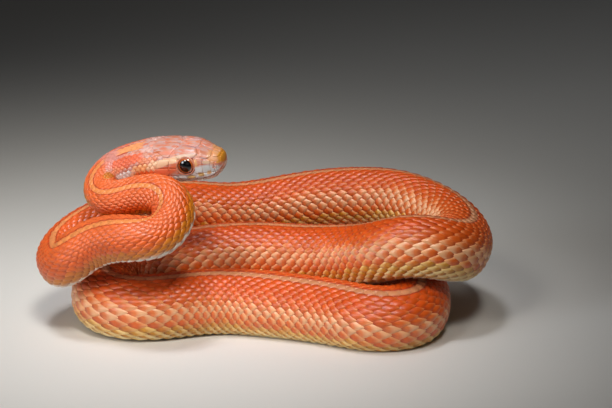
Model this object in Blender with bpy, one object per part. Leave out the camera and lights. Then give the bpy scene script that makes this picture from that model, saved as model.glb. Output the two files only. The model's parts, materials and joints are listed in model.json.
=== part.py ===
"""Young corn snake at rest: loose coils on the floor, the head raised on a folded neck.

The body is one tube of changing girth along a smooth route from the snout to the tip of the tail.
It is parted by thin cuts into the lengths that a person would name. The belly carries its broad
scutes as raised steps, and the head carries its plates, the line of the mouth and the nostrils.
Metres, +Z up. The origin is on the floor, in the middle of the model.
"""
import math

import bmesh
import bpy
import numpy as np
from mathutils import Matrix, Vector

MM = 0.001
NAME = "corn_snake"
# Middle of the coils in the route's own millimetres, which becomes the origin
CENTRE = (-8.785, 30.393)
# Gap that neighbouring pieces keep, and the room that the settled coils leave each other
GAP = 0.3
COIL_ROOM = 0.95
# How far a resting belly gives way under the weight, which makes its flats
FLAT_SINK = 0.35

# Backbone of the raised head, then the three short lengths of the folded neck
NECK_ROUTE = [
    (-16.4, 10.8, 38.4), (-21.3, 12.5, 38.1), (-26.7, 14.2, 37.7), (-32.1, 16.0, 37.1),
    (-36.6, 17.5, 36.0), (-41.0, 18.5, 34.0), (-43.3, 16.5, 31.7), (-42.8, 12.5, 30.0),
    (-39.7, 9.7, 29.8), (-35.4, 8.2, 30.8), (-30.6, 6.5, 31.8), (-26.2, 4.8, 31.5),
    (-24.8, 2.9, 29.3), (-27.6, 1.3, 27.0), (-33.4, 0.8, 26.0), (-38.7, 3.0, 24.9),
    (-43.5, 5.7, 22.8), (-47.6, 6.8, 19.9),
]
# Upper coil: round the left, along the far side, round the right and back through the middle
UPPER_ROUTE = [
    (-49.9, 8.2, 17.2), (-51.7, 13.0, 14.9), (-50.9, 19.5, 14.6), (-48.0, 24.0, 16.6),
    (-44.3, 28.0, 18.6), (-39.0, 31.5, 19.5), (-32.1, 35.0, 19.4), (-23.5, 39.0, 18.9),
    (-14.9, 42.0, 18.0), (-5.8, 43.5, 18.8), (3.1, 43.5, 20.2), (12.4, 42.5, 21.0),
    (19.7, 40.5, 21.0), (26.2, 36.0, 20.1), (30.6, 30.5, 18.9), (32.9, 23.5, 17.8),
    (32.4, 16.0, 17.2), (29.2, 10.0, 17.0), (24.0, 8.0, 17.4), (18.9, 10.2, 17.5),
    (9.7, 17.5, 15.2), (0.0, 22.3, 13.2), (-9.6, 25.2, 12.6), (-19.4, 27.5, 12.2),
]
# Lower coil on the floor: round the left, along the front, round the right and back
LOWER_ROUTE = [
    (-26.5, 28.8, 11.5), (-34.2, 29.8, 8.6), (-41.2, 27.5, 6.4), (-44.4, 20.0, 5.9),
    (-41.5, 12.0, 5.9), (-35.4, 9.5, 5.9), (-29.1, 11.0, 5.9), (-22.1, 13.5, 5.9),
    (-14.4, 14.5, 5.9), (-9.4, 13.5, 5.9), (0.0, 10.0, 5.9), (8.0, 6.0, 5.9),
    (13.4, 3.0, 5.9), (18.2, 2.4, 5.9), (22.2, 5.2, 5.9), (24.0, 10.6, 5.9),
    (24.3, 17.5, 5.9), (23.2, 24.5, 5.9), (20.0, 30.4, 5.8), (14.4, 33.8, 5.7),
]
# Back length, then the tail, which turns at the far left and lies along the back
TAIL_ROUTE = [
    (6.4, 35.5, 5.5), (-3.6, 37.0, 5.3), (-12.5, 38.8, 5.1), (-21.4, 40.0, 4.9),
    (-31.5, 41.5, 4.7), (-39.5, 45.0, 4.4), (-44.0, 52.0, 4.0), (-41.7, 59.5, 3.6),
    (-33.6, 62.0, 3.2), (-22.0, 59.5, 2.7), (-10.5, 56.5, 2.1), (0.9, 56.0, 1.5),
    (12.4, 57.5, 0.9), (21.5, 57.0, 0.4),
]
ROUTE = NECK_ROUTE + UPPER_ROUTE + LOWER_ROUTE + TAIL_ROUTE

# Girth: mm from the snout, half width, half height, height of the middle above the route
GIRTH = [
    (0.0, 2.90, 2.60, 0.25), (1.6, 3.05, 2.70, 0.05), (3.1, 3.35, 3.10, -0.20), (5.4, 4.20, 3.85, 0.10),
    (7.7, 4.75, 4.15, 0.20), (9.5, 5.00, 4.25, 0.15), (12.5, 5.30, 4.20, 0.05), (15.5, 5.50, 4.10, 0.0),
    (18.0, 5.25, 3.95, 0.0), (21.0, 4.70, 3.80, 0.0), (25.0, 4.10, 3.70, 0.0), (30.0, 3.80, 3.60, 0.0),
    (60.0, 4.50, 4.25, 0.0), (100.0, 5.25, 4.95, 0.0), (150.0, 6.35, 6.00, 0.0), (200.0, 6.90, 6.45, 0.0),
    (250.0, 7.00, 6.55, 0.0), (360.0, 6.95, 6.50, 0.0), (410.0, 6.35, 5.95, 0.0), (450.0, 5.45, 5.05, 0.0),
    (470.0, 4.70, 4.35, 0.0), (500.0, 3.15, 2.95, 0.0), (530.0, 1.45, 1.35, 0.0), (547.0, 0.60, 0.55, 0.0),
]
# The lower jaw sits inside the upper lip by this share of its width, as far back as here
JAW_INSET = 0.07
JAW_ENDS = (14.0, 20.0)
# The snout rounds off over this length, with this roundness
SNOUT_ROUND = 3.2
SNOUT_POWER = 2.1
# Roundness of a section: 2 is an ellipse, more is boxier
HEAD_POWER = 2.6
BODY_POWER = 2.25
HEAD_ENDS = 24.0

# Which way the back faces: mm from the snout, direction
BACK_FACES = [
    (0, (0.0, -0.30, 1.0)), (19, (0.0, -0.30, 1.0)), (29, (-0.5, -0.45, 0.8)), (36, (-0.8, -0.5, 0.4)),
    (42, (-0.42, -0.55, 0.7)), (48, (-0.3, -0.66, 0.68)), (52, (-0.3, -0.78, 0.5)), (55, (-0.78, -0.6, 0.25)),
    (58, (-0.9, -0.2, 0.3)), (61, (-0.65, 0.0, 0.75)), (64, (-0.3, -0.15, 0.95)), (70, (-0.1, -0.5, 0.87)),
    (82, (0.0, -0.55, 0.84)), (90, (-0.25, -0.25, 0.9)), (97, (-0.4, -0.1, 0.9)), (106, (-0.2, 0.05, 1.0)),
    (116, (0.0, 0.15, 1.0)), (185, (0.05, 0.2, 1.0)), (205, (0.5, 0.3, 1.0)), (222, (0.05, 0.05, 1.0)),
    (275, (0.0, 0.05, 1.0)), (300, (0.0, 0.0, 1.0)), (330, (0.0, -0.1, 1.0)), (375, (0.15, -0.35, 1.0)),
    (400, (0.0, 0.0, 1.0)), (562, (0.0, 0.0, 1.0)),
]

# Lengths of the body: name, where each ends in mm from the snout, length of its belly scutes
LENGTHS = [
    ("neck_first_bend", 45.0, 1.9), ("neck_second_bend", 72.0, 1.6), ("neck_left_bend", 103.0, 2.4),
    ("body_far_left", 145.0, 3.4), ("body_far", 188.0, 3.4), ("body_right_bend", 232.0, 3.2),
    ("body_middle", 276.0, 3.6), ("body_low_left_bend", 318.0, 3.2), ("body_front", 362.0, 3.6),
    ("body_low_right_bend", 408.0, 3.2), ("body_back", 462.0, 3.6), ("tail_bend", 498.0, 3.0),
]
AROUND = 20
BELLY_FROM = 126.0
SCUTE_STEP = 0.16

SKIN_COLOUR = (0.80, 0.27, 0.10)
HEAD_COLOUR = (0.84, 0.42, 0.26)
EYE_COLOUR = (0.02, 0.015, 0.015)
# Eye: mm from the snout, above the route and out from it, and its half sizes along, up and out
EYE_AT = 7.85
EYE_HEIGHT = 1.15
EYE_OUT = 3.95
EYE_RADII = (1.9, 1.9, 1.25)
# The eye looks this far forward and up, in degrees
EYE_FORWARD = 7.0
EYE_UP = 16.0
# Nostril: mm from the snout, height above the route and radius of the pit
NOSTRIL = (1.9, 0.35, 0.32)
# Line of the mouth: mm from the snout, height above the route; and its thickness and depth
MOUTH = [(0.0, -0.95), (1.6, -1.45), (3.1, -2.00), (5.0, -2.40), (8.0, -2.65), (11.0, -2.60), (14.0, -2.00)]
MOUTH_THICK = 0.26
MOUTH_DEEP = 0.45
# The line crosses the front of the snout here, in mm from its tip
MOUTH_FRONT = 0.42

# Plates of the head's top, right half: corners as mm from the snout and mm off the midline
TOP_PLATES = {
    "internasal": [(0.95, 0.12), (0.95, 1.1), (1.6, 1.9), (2.5, 2.0), (2.75, 0.12)],
    "prefrontal": [(3.0, 0.12), (2.75, 2.15), (3.7, 3.0), (5.0, 3.25), (5.55, 1.5), (5.35, 0.12)],
    "supraocular": [(5.9, 1.6), (5.4, 2.95), (6.3, 3.85), (7.9, 4.25), (9.7, 4.3), (10.5, 3.2),
                    (9.4, 1.0), (7.5, 1.4)],
    "parietal": [(10.4, 0.12), (9.65, 1.0), (10.8, 3.2), (11.4, 4.35), (12.9, 4.2), (14.6, 3.0),
                 (15.7, 1.5), (15.6, 0.12)],
}
FRONTAL = [(5.6, 0.0), (5.75, 1.35), (7.4, 1.15), (9.1, 0.7), (10.05, 0.0), (9.1, -0.7), (7.4, -1.15),
           (5.75, -1.35)]
# Plates of the flank: corners as mm from the snout and mm above the route
SIDE_PLATES = {
    "nasal": [(1.05, -0.75), (1.0, 0.9), (2.5, 1.6), (2.8, -0.75)],
    "loreal": [(3.0, -0.75), (2.75, 1.75), (4.2, 2.2), (4.35, -0.7)],
    "preocular": [(4.55, -0.7), (4.4, 2.3), (5.5, 2.75), (5.85, 1.9), (5.7, -0.4)],
    "upper_postocular": [(10.05, 0.95), (9.9, 2.3), (11.0, 2.7), (11.5, 0.95)],
    "lower_postocular": [(9.6, -0.95), (10.05, 0.75), (11.5, 0.75), (11.4, -0.85)],
    "upper_temporal": [(11.7, 0.95), (11.3, 2.5), (13.6, 2.6), (14.3, 0.95)],
    "lower_temporal": [(11.6, -0.8), (11.7, 0.75), (14.3, 0.75), (14.2, -0.75)],
}
# The plate on the tip of the snout: corners as mm from the tip and degrees from the midline
ROSTRAL = [(0.85, 0), (0.85, 35), (0.75, 75), (0.5, 115), (0.3, 150), (0.26, 180), (0.3, 210),
           (0.5, 245), (0.75, 285), (0.85, 325)]
# Lip plates meet here, in mm from the snout
UPPER_LIP = [0.75, 1.9, 3.1, 4.5, 6.1, 7.9, 9.7, 11.8, 14.2]
LOWER_LIP = [1.5, 3.2, 5.2, 7.6, 10.2, 13.2]
# Heights of the upper lip plates' top edges, mm from the snout and mm above the route
LIP_TOP = [(0.7, -0.9), (5.3, -0.9), (6.1, -1.4), (9.4, -1.4), (10.4, -1.02), (14.4, -0.9)]
LIP_GAP = 0.2
LOWER_LIP_DEEP = 0.75
# Plates stand out by this much, are rooted by this much, and leave this much between them
PLATE_RAISE = 0.15
PLATE_ROOT = 0.4
PLATE_JOINT = 0.07
# Longest edge of a plate's outline
PLATE_EDGE = 1.1


def natural_spline(knots, values, where):
    """Smooth curve through rows of values at rising knots, read at the places asked for."""
    knots = np.asarray(knots, float)
    values = np.asarray(values, float)
    n = len(knots)
    h = np.diff(knots)
    slope = np.diff(values, axis=0) / h[:, None]
    matrix = np.eye(n)
    right = np.zeros_like(values)
    for i in range(1, n - 1):
        matrix[i, i - 1:i + 2] = h[i - 1], 2 * (h[i - 1] + h[i]), h[i]
        right[i] = 6 * (slope[i] - slope[i - 1])
    bend = np.linalg.solve(matrix, right)
    where = np.atleast_1d(np.asarray(where, float))
    k = np.clip(np.searchsorted(knots, where, side="right") - 1, 0, n - 2)
    a = (knots[k + 1] - where)[:, None]
    b = (where - knots[k])[:, None]
    hk = h[k][:, None]
    curve = (bend[k] * a ** 3 + bend[k + 1] * b ** 3) / (6 * hk)
    return curve + (values[k] / hk - bend[k] * hk / 6) * a + (values[k + 1] / hk - bend[k + 1] * hk / 6) * b


def evenly(points, step):
    """The same line with a point at every step, and how far along it each one lies."""
    along = np.r_[0, np.cumsum(np.linalg.norm(np.diff(points, axis=0), axis=1))]
    reach = np.linspace(0, along[-1], int(round(along[-1] / step)) + 1)
    return np.stack([np.interp(reach, along, points[:, j]) for j in range(3)], -1), reach


def spread(values, sigma):
    """Rows of values evened out along the line with a bell-shaped weight."""
    reach = int(sigma * 3)
    weight = np.exp(-0.5 * (np.arange(-reach, reach + 1) / sigma) ** 2)
    weight /= weight.sum()
    padded = np.pad(values, ((reach, reach), (0, 0)), mode="edge")
    return np.stack([np.convolve(padded[:, j], weight, "valid") for j in range(3)], -1)


def settle(points, along, radius, rounds=200):
    """Let the coils push each other clear, rest on the floor and open bends that are too tight."""
    span = 4
    apart = np.abs(along[:, None] - along[None]) > 1.35 * (radius[:, None] + radius[None])
    need = radius[:, None] + radius[None] + COIL_ROOM
    for _ in range(rounds):
        offset = points[:, None] - points[None]
        distance = np.linalg.norm(offset, axis=-1) + 1e-9
        lack = np.where(apart & (distance < need), need - distance, 0)
        move = (offset * (lack / distance)[..., None]).sum(1) * 0.5
        move /= np.maximum((lack > 0).sum(1), 1)[:, None]
        move[:, 2] += 0.7 * np.maximum(0.95 * radius - FLAT_SINK - points[:, 2], 0)
        chord = (points[2 * span:] + points[:-2 * span]) / 2 - points[span:-span]
        bend = 2 * np.linalg.norm(chord, axis=1) / (span * (along[1] - along[0])) ** 2
        over = np.clip(bend * radius[span:-span] - 0.78, 0, 0.4)
        move[span:-span] += over[:, None] * chord * 0.8
        points = points + 1.2 * spread(move, 4.0)
    return points


def backbone():
    """The settled route at quarter millimetres, with its directions and tightness."""
    waypoints = np.array(ROUTE) - [*CENTRE, 0.0]
    knots = np.r_[0, np.cumsum(np.linalg.norm(np.diff(waypoints, axis=0), axis=1) ** 0.75)]
    points, along = evenly(natural_spline(knots, waypoints, np.linspace(0, knots[-1], 6000)), 1.0)
    girth = girth_at(along)
    points = settle(points, along, (girth[:, 0] + girth[:, 1]) / 2)
    points, along = evenly(points, 1.0)
    fine = np.arange(0, along[-1], 0.25)
    points = natural_spline(along, spread(points, 1.5), fine)
    tailward = np.gradient(points, fine, axis=0)
    tailward /= np.linalg.norm(tailward, axis=1)[:, None]
    inward = np.gradient(tailward, fine, axis=0)
    places = [row[0] for row in BACK_FACES]
    facing = np.stack([np.interp(fine, places, [row[1][j] for row in BACK_FACES]) for j in range(3)], -1)
    facing -= (facing * tailward).sum(1)[:, None] * tailward
    facing = spread(facing / np.linalg.norm(facing, axis=1)[:, None], 12.0)
    facing -= (facing * tailward).sum(1)[:, None] * tailward
    facing /= np.linalg.norm(facing, axis=1)[:, None]
    return fine, np.hstack([points, tailward, facing, np.cross(facing, tailward), inward])


def girth_at(s):
    """Half width, half height and lift of the middle, in mm, at places along the body."""
    table = np.array(GIRTH)
    girth = natural_spline(table[:, 0], table[:, 1:], np.minimum(s, table[-1, 0]))
    ahead = 1 - np.clip(np.atleast_1d(s), 0, SNOUT_ROUND) / SNOUT_ROUND
    girth[:, :2] *= ((1 - ahead ** SNOUT_POWER) ** (1 / SNOUT_POWER))[:, None]
    return girth


FINE, BONE = backbone()
LENGTH = float(FINE[-1])


def frame_at(s):
    """Route point, tailward, back and right-hand directions, and the bend, at places s."""
    rows = np.stack([np.interp(s, FINE, BONE[:, j]) for j in range(15)], -1)
    return rows[:, 0:3], rows[:, 3:6], rows[:, 6:9], rows[:, 9:12], rows[:, 12:15]


def power_at(s):
    """Roundness of the section, boxier on the head."""
    return np.interp(s, [HEAD_ENDS * 0.75, HEAD_ENDS * 1.5], [HEAD_POWER, BODY_POWER])


def skin(s, angle, lift=0.0):
    """Points on the skin in mm: s from the snout, angle in degrees from the middle of the back."""
    s, angle, lift = (np.ravel(x) for x in np.broadcast_arrays(s, np.radians(angle), lift))
    middle, tailward, back, right, inward = frame_at(s)
    wide, high, up = girth_at(s).T
    power = 2 / power_at(s)
    across = np.sign(np.sin(angle)) * np.abs(np.sin(angle)) ** power * (wide + lift)
    under = np.clip((-np.cos(angle) - 0.35) / 0.25, 0, 1)
    across *= 1 - JAW_INSET * under * np.interp(s, JAW_ENDS, [1, 0])
    upward = np.sign(np.cos(angle)) * np.abs(np.cos(angle)) ** power * (high + lift) + up
    out = right * across[:, None] + back * upward[:, None]
    # The inner side of a tight bend is squeezed, so that the tube never folds through itself
    bend = np.linalg.norm(inward, axis=1) + 1e-9
    toward = (out * inward).sum(1) / bend
    squeeze = np.maximum(toward - 0.82 / bend, 0) * 0.9
    out -= inward / bend[:, None] * squeeze[:, None]
    points = middle + out
    points[:, 2] = np.maximum(points[:, 2], 0.0)
    return points


def angle_of_width(s, across):
    """Angle on the skin, on the upper side, of a point a given mm off the midline."""
    wide = girth_at(s)[0][0]
    share = min(abs(across) / wide, 1.0) ** (power_at(s) / 2)
    return math.copysign(math.degrees(math.asin(share)), across)


def angle_of_height(s, height):
    """Angle on the skin of a point on the flank a given mm above the route."""
    _, high, up = girth_at(s)[0]
    share = max(-1.0, min((height - up) / high, 1.0))
    return math.degrees(math.acos(math.copysign(abs(share) ** (power_at(s) / 2), share)))


def principled(name, colour, roughness):
    """A plain material with the piece's colour and gloss."""
    material = bpy.data.materials.new(name)
    material.use_nodes = True
    shader = material.node_tree.nodes["Principled BSDF"]
    shader.inputs["Base Color"].default_value = (*colour, 1.0)
    shader.inputs["Roughness"].default_value = roughness
    shader.inputs["Metallic"].default_value = 0.0
    material.diffuse_color = (*colour, 1.0)
    return material


def place(name, points, faces, collection, at):
    """An object from points in mm and faces, with its own origin, parented to the snake's empty."""
    at = np.asarray(at, float)
    mesh = bpy.data.meshes.new(name)
    bm = bmesh.new()
    verts = [bm.verts.new((np.asarray(p) - at) * MM) for p in points]
    for face in faces:
        bm.faces.new([verts[i] for i in face])
    bmesh.ops.recalc_face_normals(bm, faces=bm.faces)
    bm.to_mesh(mesh)
    bm.free()
    item = bpy.data.objects.new(name, mesh)
    item.location = Vector(at) * MM
    collection.objects.link(item)
    return item


def distinct(loop):
    """A face's corners without repeats, or nothing where fewer than three are left."""
    kept = [v for i, v in enumerate(loop) if v != loop[i - 1]]
    return [kept] if len(kept) > 2 else []


def body_mesh(begin, end, scute, tip=False):
    """Points and faces of one length of the body, its belly stepped like broad scutes."""
    last = end - 0.8 if tip else end
    stations = np.linspace(begin, last, max(2, round((last - begin) / scute)) + 1)
    angles = np.arange(AROUND) * 360.0 / AROUND
    belly = np.abs((angles + 180.0) % 360.0 - 180.0) > BELLY_FROM + 1.0
    points, low, high = [], [], []
    for k, s in enumerate(stations):
        ring = skin(s, angles)
        raised = skin(s, angles, min(SCUTE_STEP, girth_at(s)[0][0] * 0.05))
        first = len(points)
        points += list(ring)
        low.append([first + j for j in range(AROUND)])
        row = list(low[-1])
        for j in np.flatnonzero(belly):
            if k and raised[j][2] > SCUTE_STEP and ring[j][2] > SCUTE_STEP:
                row[j] = len(points)
                points.append(raised[j])
        high.append(row)
    faces = []
    for k in range(len(stations) - 1):
        for j in range(AROUND):
            n = (j + 1) % AROUND
            faces += distinct([low[k][j], low[k][n], high[k + 1][n], high[k + 1][j]])
            if k + 2 < len(stations) or tip:
                faces += distinct([high[k + 1][j], high[k + 1][n], low[k + 1][n], low[k + 1][j]])
    faces.append(low[0])
    if tip:
        points.append(skin(end, 0.0, -girth_at(end)[0][1])[0])
        faces += [[low[-1][j], low[-1][(j + 1) % AROUND], len(points) - 1] for j in range(AROUND)]
    else:
        faces.append(high[-1])
    return points, faces


def clear_scene():
    for item in list(bpy.data.objects):
        bpy.data.objects.remove(item, do_unlink=True)


def new_collection(name):
    collection = bpy.data.collections.new(name)
    bpy.context.scene.collection.children.link(collection)
    return collection


def adopt(item, parent, material):
    """Parent a finished piece, give it its material and smooth shading."""
    item.parent = parent
    item.data.materials.clear()
    item.data.materials.append(material)
    item.data.shade_smooth()
    item.data.set_sharp_from_angle(angle=math.radians(38))


def head_mesh(end):
    """Points and faces of the head's bare form, from the tip of the snout to the neck."""
    around = 36
    stations = [0.04, 0.18, 0.45, 0.9, 1.5, 2.2, 3.1, *np.arange(4.2, end - 0.6, 1.25), end]
    angles = np.arange(around) * 360.0 / around
    points = [skin(0.0, 0.0)[0]]
    for s in stations:
        points += list(skin(s, angles))
    faces = [[0, 1 + j, 1 + (j + 1) % around] for j in range(around)]
    for k in range(len(stations) - 1):
        a = 1 + k * around
        for j in range(around):
            n = (j + 1) % around
            faces.append([a + j, a + n, a + around + n, a + around + j])
    faces.append([1 + (len(stations) - 1) * around + j for j in range(around)])
    return points, faces


def head_axes():
    """The head's own frame: origin on the route at the eyes, and its forward, right and up."""
    middle, tailward, back, right, _ = (row[0] for row in frame_at(np.array([EYE_AT])))
    return middle, -tailward, right, back


def ellipsoid(name, side, swell, collection):
    """An eye, or the socket for it when swollen by a gap, on the given side of the head."""
    middle, forward, right, up = head_axes()
    out = right * side
    at = middle + up * EYE_HEIGHT + out * EYE_OUT
    look = out + forward * math.tan(math.radians(EYE_FORWARD)) + up * math.tan(math.radians(EYE_UP))
    look /= np.linalg.norm(look)
    along = np.cross(up, look)
    along /= np.linalg.norm(along)
    axes = Matrix(np.array([along, np.cross(look, along), look]).T.tolist())
    bm = bmesh.new()
    bmesh.ops.create_uvsphere(bm, u_segments=20, v_segments=12, radius=1.0)
    bmesh.ops.scale(bm, vec=[(r + swell) * MM for r in EYE_RADII], verts=bm.verts)
    bmesh.ops.rotate(bm, matrix=axes, verts=bm.verts)
    mesh = bpy.data.meshes.new(name)
    bm.to_mesh(mesh)
    bm.free()
    item = bpy.data.objects.new(name, mesh)
    item.location = Vector(at) * MM
    collection.objects.link(item)
    return item


def nostril_pit(side, collection):
    """A small ball that hollows the nostril."""
    s, height, radius = NOSTRIL
    at = skin(s, side * angle_of_height(s, height))[0]
    bm = bmesh.new()
    bmesh.ops.create_icosphere(bm, subdivisions=2, radius=radius * MM)
    mesh = bpy.data.meshes.new("nostril")
    bm.to_mesh(mesh)
    bm.free()
    item = bpy.data.objects.new("nostril_pit", mesh)
    item.location = Vector(at) * MM
    collection.objects.link(item)
    return item


def mouth_height(s):
    return float(natural_spline([m[0] for m in MOUTH], [[m[1]] for m in MOUTH], s)[0, 0])


def chin_height(s):
    """How low a lip plate may reach, short of the middle of the chin."""
    _, high, up = girth_at(s)[0]
    return up - 0.84 * high


def mouth_line(collection):
    """A thin curved band that cuts the line of the mouth from one corner to the other."""
    corner = MOUTH[-1][0]
    places = [0.58, 0.85, 1.4, 2.2, 3.2, 4.4, *np.linspace(5.8, corner, 8)]
    up = head_axes()[3]
    rim = [skin(MOUTH_FRONT, 180.0)[0]]
    for s in places:
        angle = angle_of_height(s, mouth_height(s))
        rim.insert(0, skin(s, angle)[0])
        rim.append(skin(s, -angle)[0])
    rim = np.array(rim)
    out = np.cross(up, np.gradient(rim, axis=0))
    out *= MOUTH_DEEP / np.linalg.norm(out, axis=1)[:, None]
    out *= np.sign(out[len(places)] @ head_axes()[1])
    lift = up * MOUTH_THICK / 2
    points = []
    for edge, outward in zip(rim, out):
        points += [edge - outward + lift, edge + outward + lift, edge + outward - lift, edge - outward - lift]
    faces = [[0, 1, 2, 3]]
    for k in range(len(rim) - 1):
        for j in range(4):
            n = (j + 1) % 4
            faces.append([4 * k + j, 4 * k + n, 4 * k + 4 + n, 4 * k + 4 + j])
    faces.append([4 * (len(rim) - 1) + j for j in range(4)])
    return place("mouth_line", points, faces, collection, head_axes()[0])


def plate(name, corners, to_skin, collection, crown=True):
    """One plate of the head: a low crowned pad that follows the skin, with its root sunk in it."""
    outline = []
    for (s0, v0), (s1, v1) in zip(corners, corners[1:] + corners[:1]):
        parts = max(1, math.ceil(math.hypot(s1 - s0, min(abs(v1 - v0), 4.0)) / PLATE_EDGE))
        outline += [(s0 + (s1 - s0) * k / parts, v0 + (v1 - v0) * k / parts) for k in range(parts)]
    outline = np.array(outline)
    centre = np.mean(corners, axis=0)
    size = np.mean(np.linalg.norm(outline - centre, axis=1))
    rings = [(1 - PLATE_JOINT / size, 0.7 * PLATE_RAISE)]
    if crown:
        rings.append((0.62, PLATE_RAISE))
    points, count = [], len(outline)
    for share, lift in rings + [(1 - PLATE_JOINT / size, -PLATE_ROOT)]:
        for s, v in centre + (outline - centre) * share:
            points.append(skin(*to_skin(s, v), lift)[0])
    top = skin(*to_skin(*centre), PLATE_RAISE)[0]
    bottom = skin(*to_skin(*centre), -PLATE_ROOT)[0]
    points += [top, bottom]
    deepest = len(rings) * count
    faces = []
    for j in range(count):
        n = (j + 1) % count
        for k in range(len(rings) - 1):
            faces.append([k * count + j, k * count + n, (k + 1) * count + n, (k + 1) * count + j])
        faces.append([(len(rings) - 1) * count + j, (len(rings) - 1) * count + n, len(points) - 2])
        faces.append([j, n, deepest + n, deepest + j])
        faces.append([deepest + j, deepest + n, len(points) - 1])
    return place(name, points, faces, collection, top)


def head_plates(collection):
    """Every plate of the head, ready to be joined to it."""
    plate("frontal", FRONTAL, lambda s, v: (s, angle_of_width(s, v)), collection)
    tip = [(s * math.cos(math.radians(a)), s * math.sin(math.radians(a))) for s, a in ROSTRAL]
    plate("rostral", tip, lambda x, y: (math.hypot(x, y), math.degrees(math.atan2(y, x))), collection)
    for side in (1, -1):
        for name, corners in TOP_PLATES.items():
            plate(name, corners, lambda s, v, side=side: (s, side * angle_of_width(s, v)), collection)

        def flank(s, v, side=side):
            return s, side * angle_of_height(s, v)
        for name, corners in SIDE_PLATES.items():
            plate(name, corners, flank, collection, crown=False)
        lip_s, lip_h = zip(*LIP_TOP)
        for a, b in zip(UPPER_LIP, UPPER_LIP[1:]):
            corners = [(a, mouth_height(a) + LIP_GAP), (a, float(np.interp(a, lip_s, lip_h)))]
            corners += [(b, float(np.interp(b, lip_s, lip_h))), (b, mouth_height(b) + LIP_GAP)]
            plate("upper_lip", corners, flank, collection, crown=False)
        for a, b in zip(LOWER_LIP, LOWER_LIP[1:]):
            corners = [(a, mouth_height(a) - LIP_GAP), (b, mouth_height(b) - LIP_GAP)]
            corners += [(s, max(mouth_height(s) - LOWER_LIP_DEEP, chin_height(s))) for s in (b, a)]
            plate("lower_lip", corners, flank, collection, crown=False)


def remove_all(collection):
    for item in list(collection.objects):
        bpy.data.objects.remove(item, do_unlink=True)


def hide_cutter(item):
    item.hide_render = True
    item.display_type = "WIRE"


def apply_boolean(item, operation, group, solver="EXACT"):
    """Join to, or cut from, the item everything in the group, and make the result its own mesh."""
    change = item.modifiers.new(operation.lower(), "BOOLEAN")
    change.operation = operation
    change.operand_type = "COLLECTION"
    change.collection = group
    change.solver = solver
    settled = item.evaluated_get(bpy.context.evaluated_depsgraph_get())
    mesh = bpy.data.meshes.new_from_object(settled)
    item.modifiers.clear()
    item.data = mesh


def keep_largest(item):
    """Drop every closed surface of a mesh but its largest."""
    bm = bmesh.new()
    bm.from_mesh(item.data)
    bmesh.ops.remove_doubles(bm, verts=bm.verts, dist=0.001 * MM)
    bm.verts.ensure_lookup_table()
    shells, seen = [], set()
    for start in bm.verts:
        if start in seen:
            continue
        shell, todo = [], [start]
        seen.add(start)
        while todo:
            vert = todo.pop()
            shell.append(vert)
            for edge in vert.link_edges:
                other = edge.other_vert(vert)
                if other not in seen:
                    seen.add(other)
                    todo.append(other)
        shells.append(shell)
    shells.sort(key=len)
    bmesh.ops.delete(bm, geom=[v for shell in shells[:-1] for v in shell], context="VERTS")
    bm.to_mesh(item.data)
    bm.free()


def main():
    clear_scene()
    snake = new_collection(NAME)
    parent = bpy.data.objects.new(NAME, None)
    snake.objects.link(parent)
    skin_finish = principled("snake_skin", SKIN_COLOUR, 0.4)
    head_finish = principled("snake_head", HEAD_COLOUR, 0.38)
    eye_finish = principled("snake_eye", EYE_COLOUR, 0.06)
    begin = HEAD_ENDS
    points, faces = head_mesh(begin - GAP / 2)
    head = place("head", points, faces, snake, head_axes()[0])
    plates = new_collection("plates")
    head_plates(plates)
    bpy.context.view_layer.update()
    apply_boolean(head, "UNION", plates)
    remove_all(plates)
    cutters = new_collection("cutters")
    mouth_line(cutters)
    for side in (1, -1):
        ellipsoid("socket", side, GAP, cutters)
        nostril_pit(side, cutters)
    for item in cutters.objects:
        hide_cutter(item)
    bpy.context.view_layer.update()
    apply_boolean(head, "DIFFERENCE", cutters, "MANIFOLD")
    keep_largest(head)
    remove_all(cutters)
    adopt(head, parent, head_finish)
    for name, side in (("eye_right", 1), ("eye_left", -1)):
        adopt(ellipsoid(name, side, 0.0, snake), parent, eye_finish)
    for name, end, scute in LENGTHS + [("tail", LENGTH, 3.0)]:
        tip = name == "tail"
        points, faces = body_mesh(begin + GAP / 2, end - (0.0 if tip else GAP / 2), scute, tip)
        item = place(name, points, faces, snake, frame_at(np.array([begin]))[0][0])
        adopt(item, parent, skin_finish)
        begin = end
    print("length", round(LENGTH, 1), "mm")


main()
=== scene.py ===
# %% [markdown]
# # A young corn snake, coiled and at rest
# This notebook dresses the plain solids of a life-size museum model of a corn snake.
# The solids give the true outline. Here they get one seamless skin, and over it every scale,
# plate and scute as thin solid mesh, with the markings, the gloss and the eyes of the living animal.
# The whole body hangs on one smooth route, so a point on the snake is named by two numbers:
# how far it lies from the snout, and at what angle round the body from the middle of the back.

# %% Frame and imports
import json
import math

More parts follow.
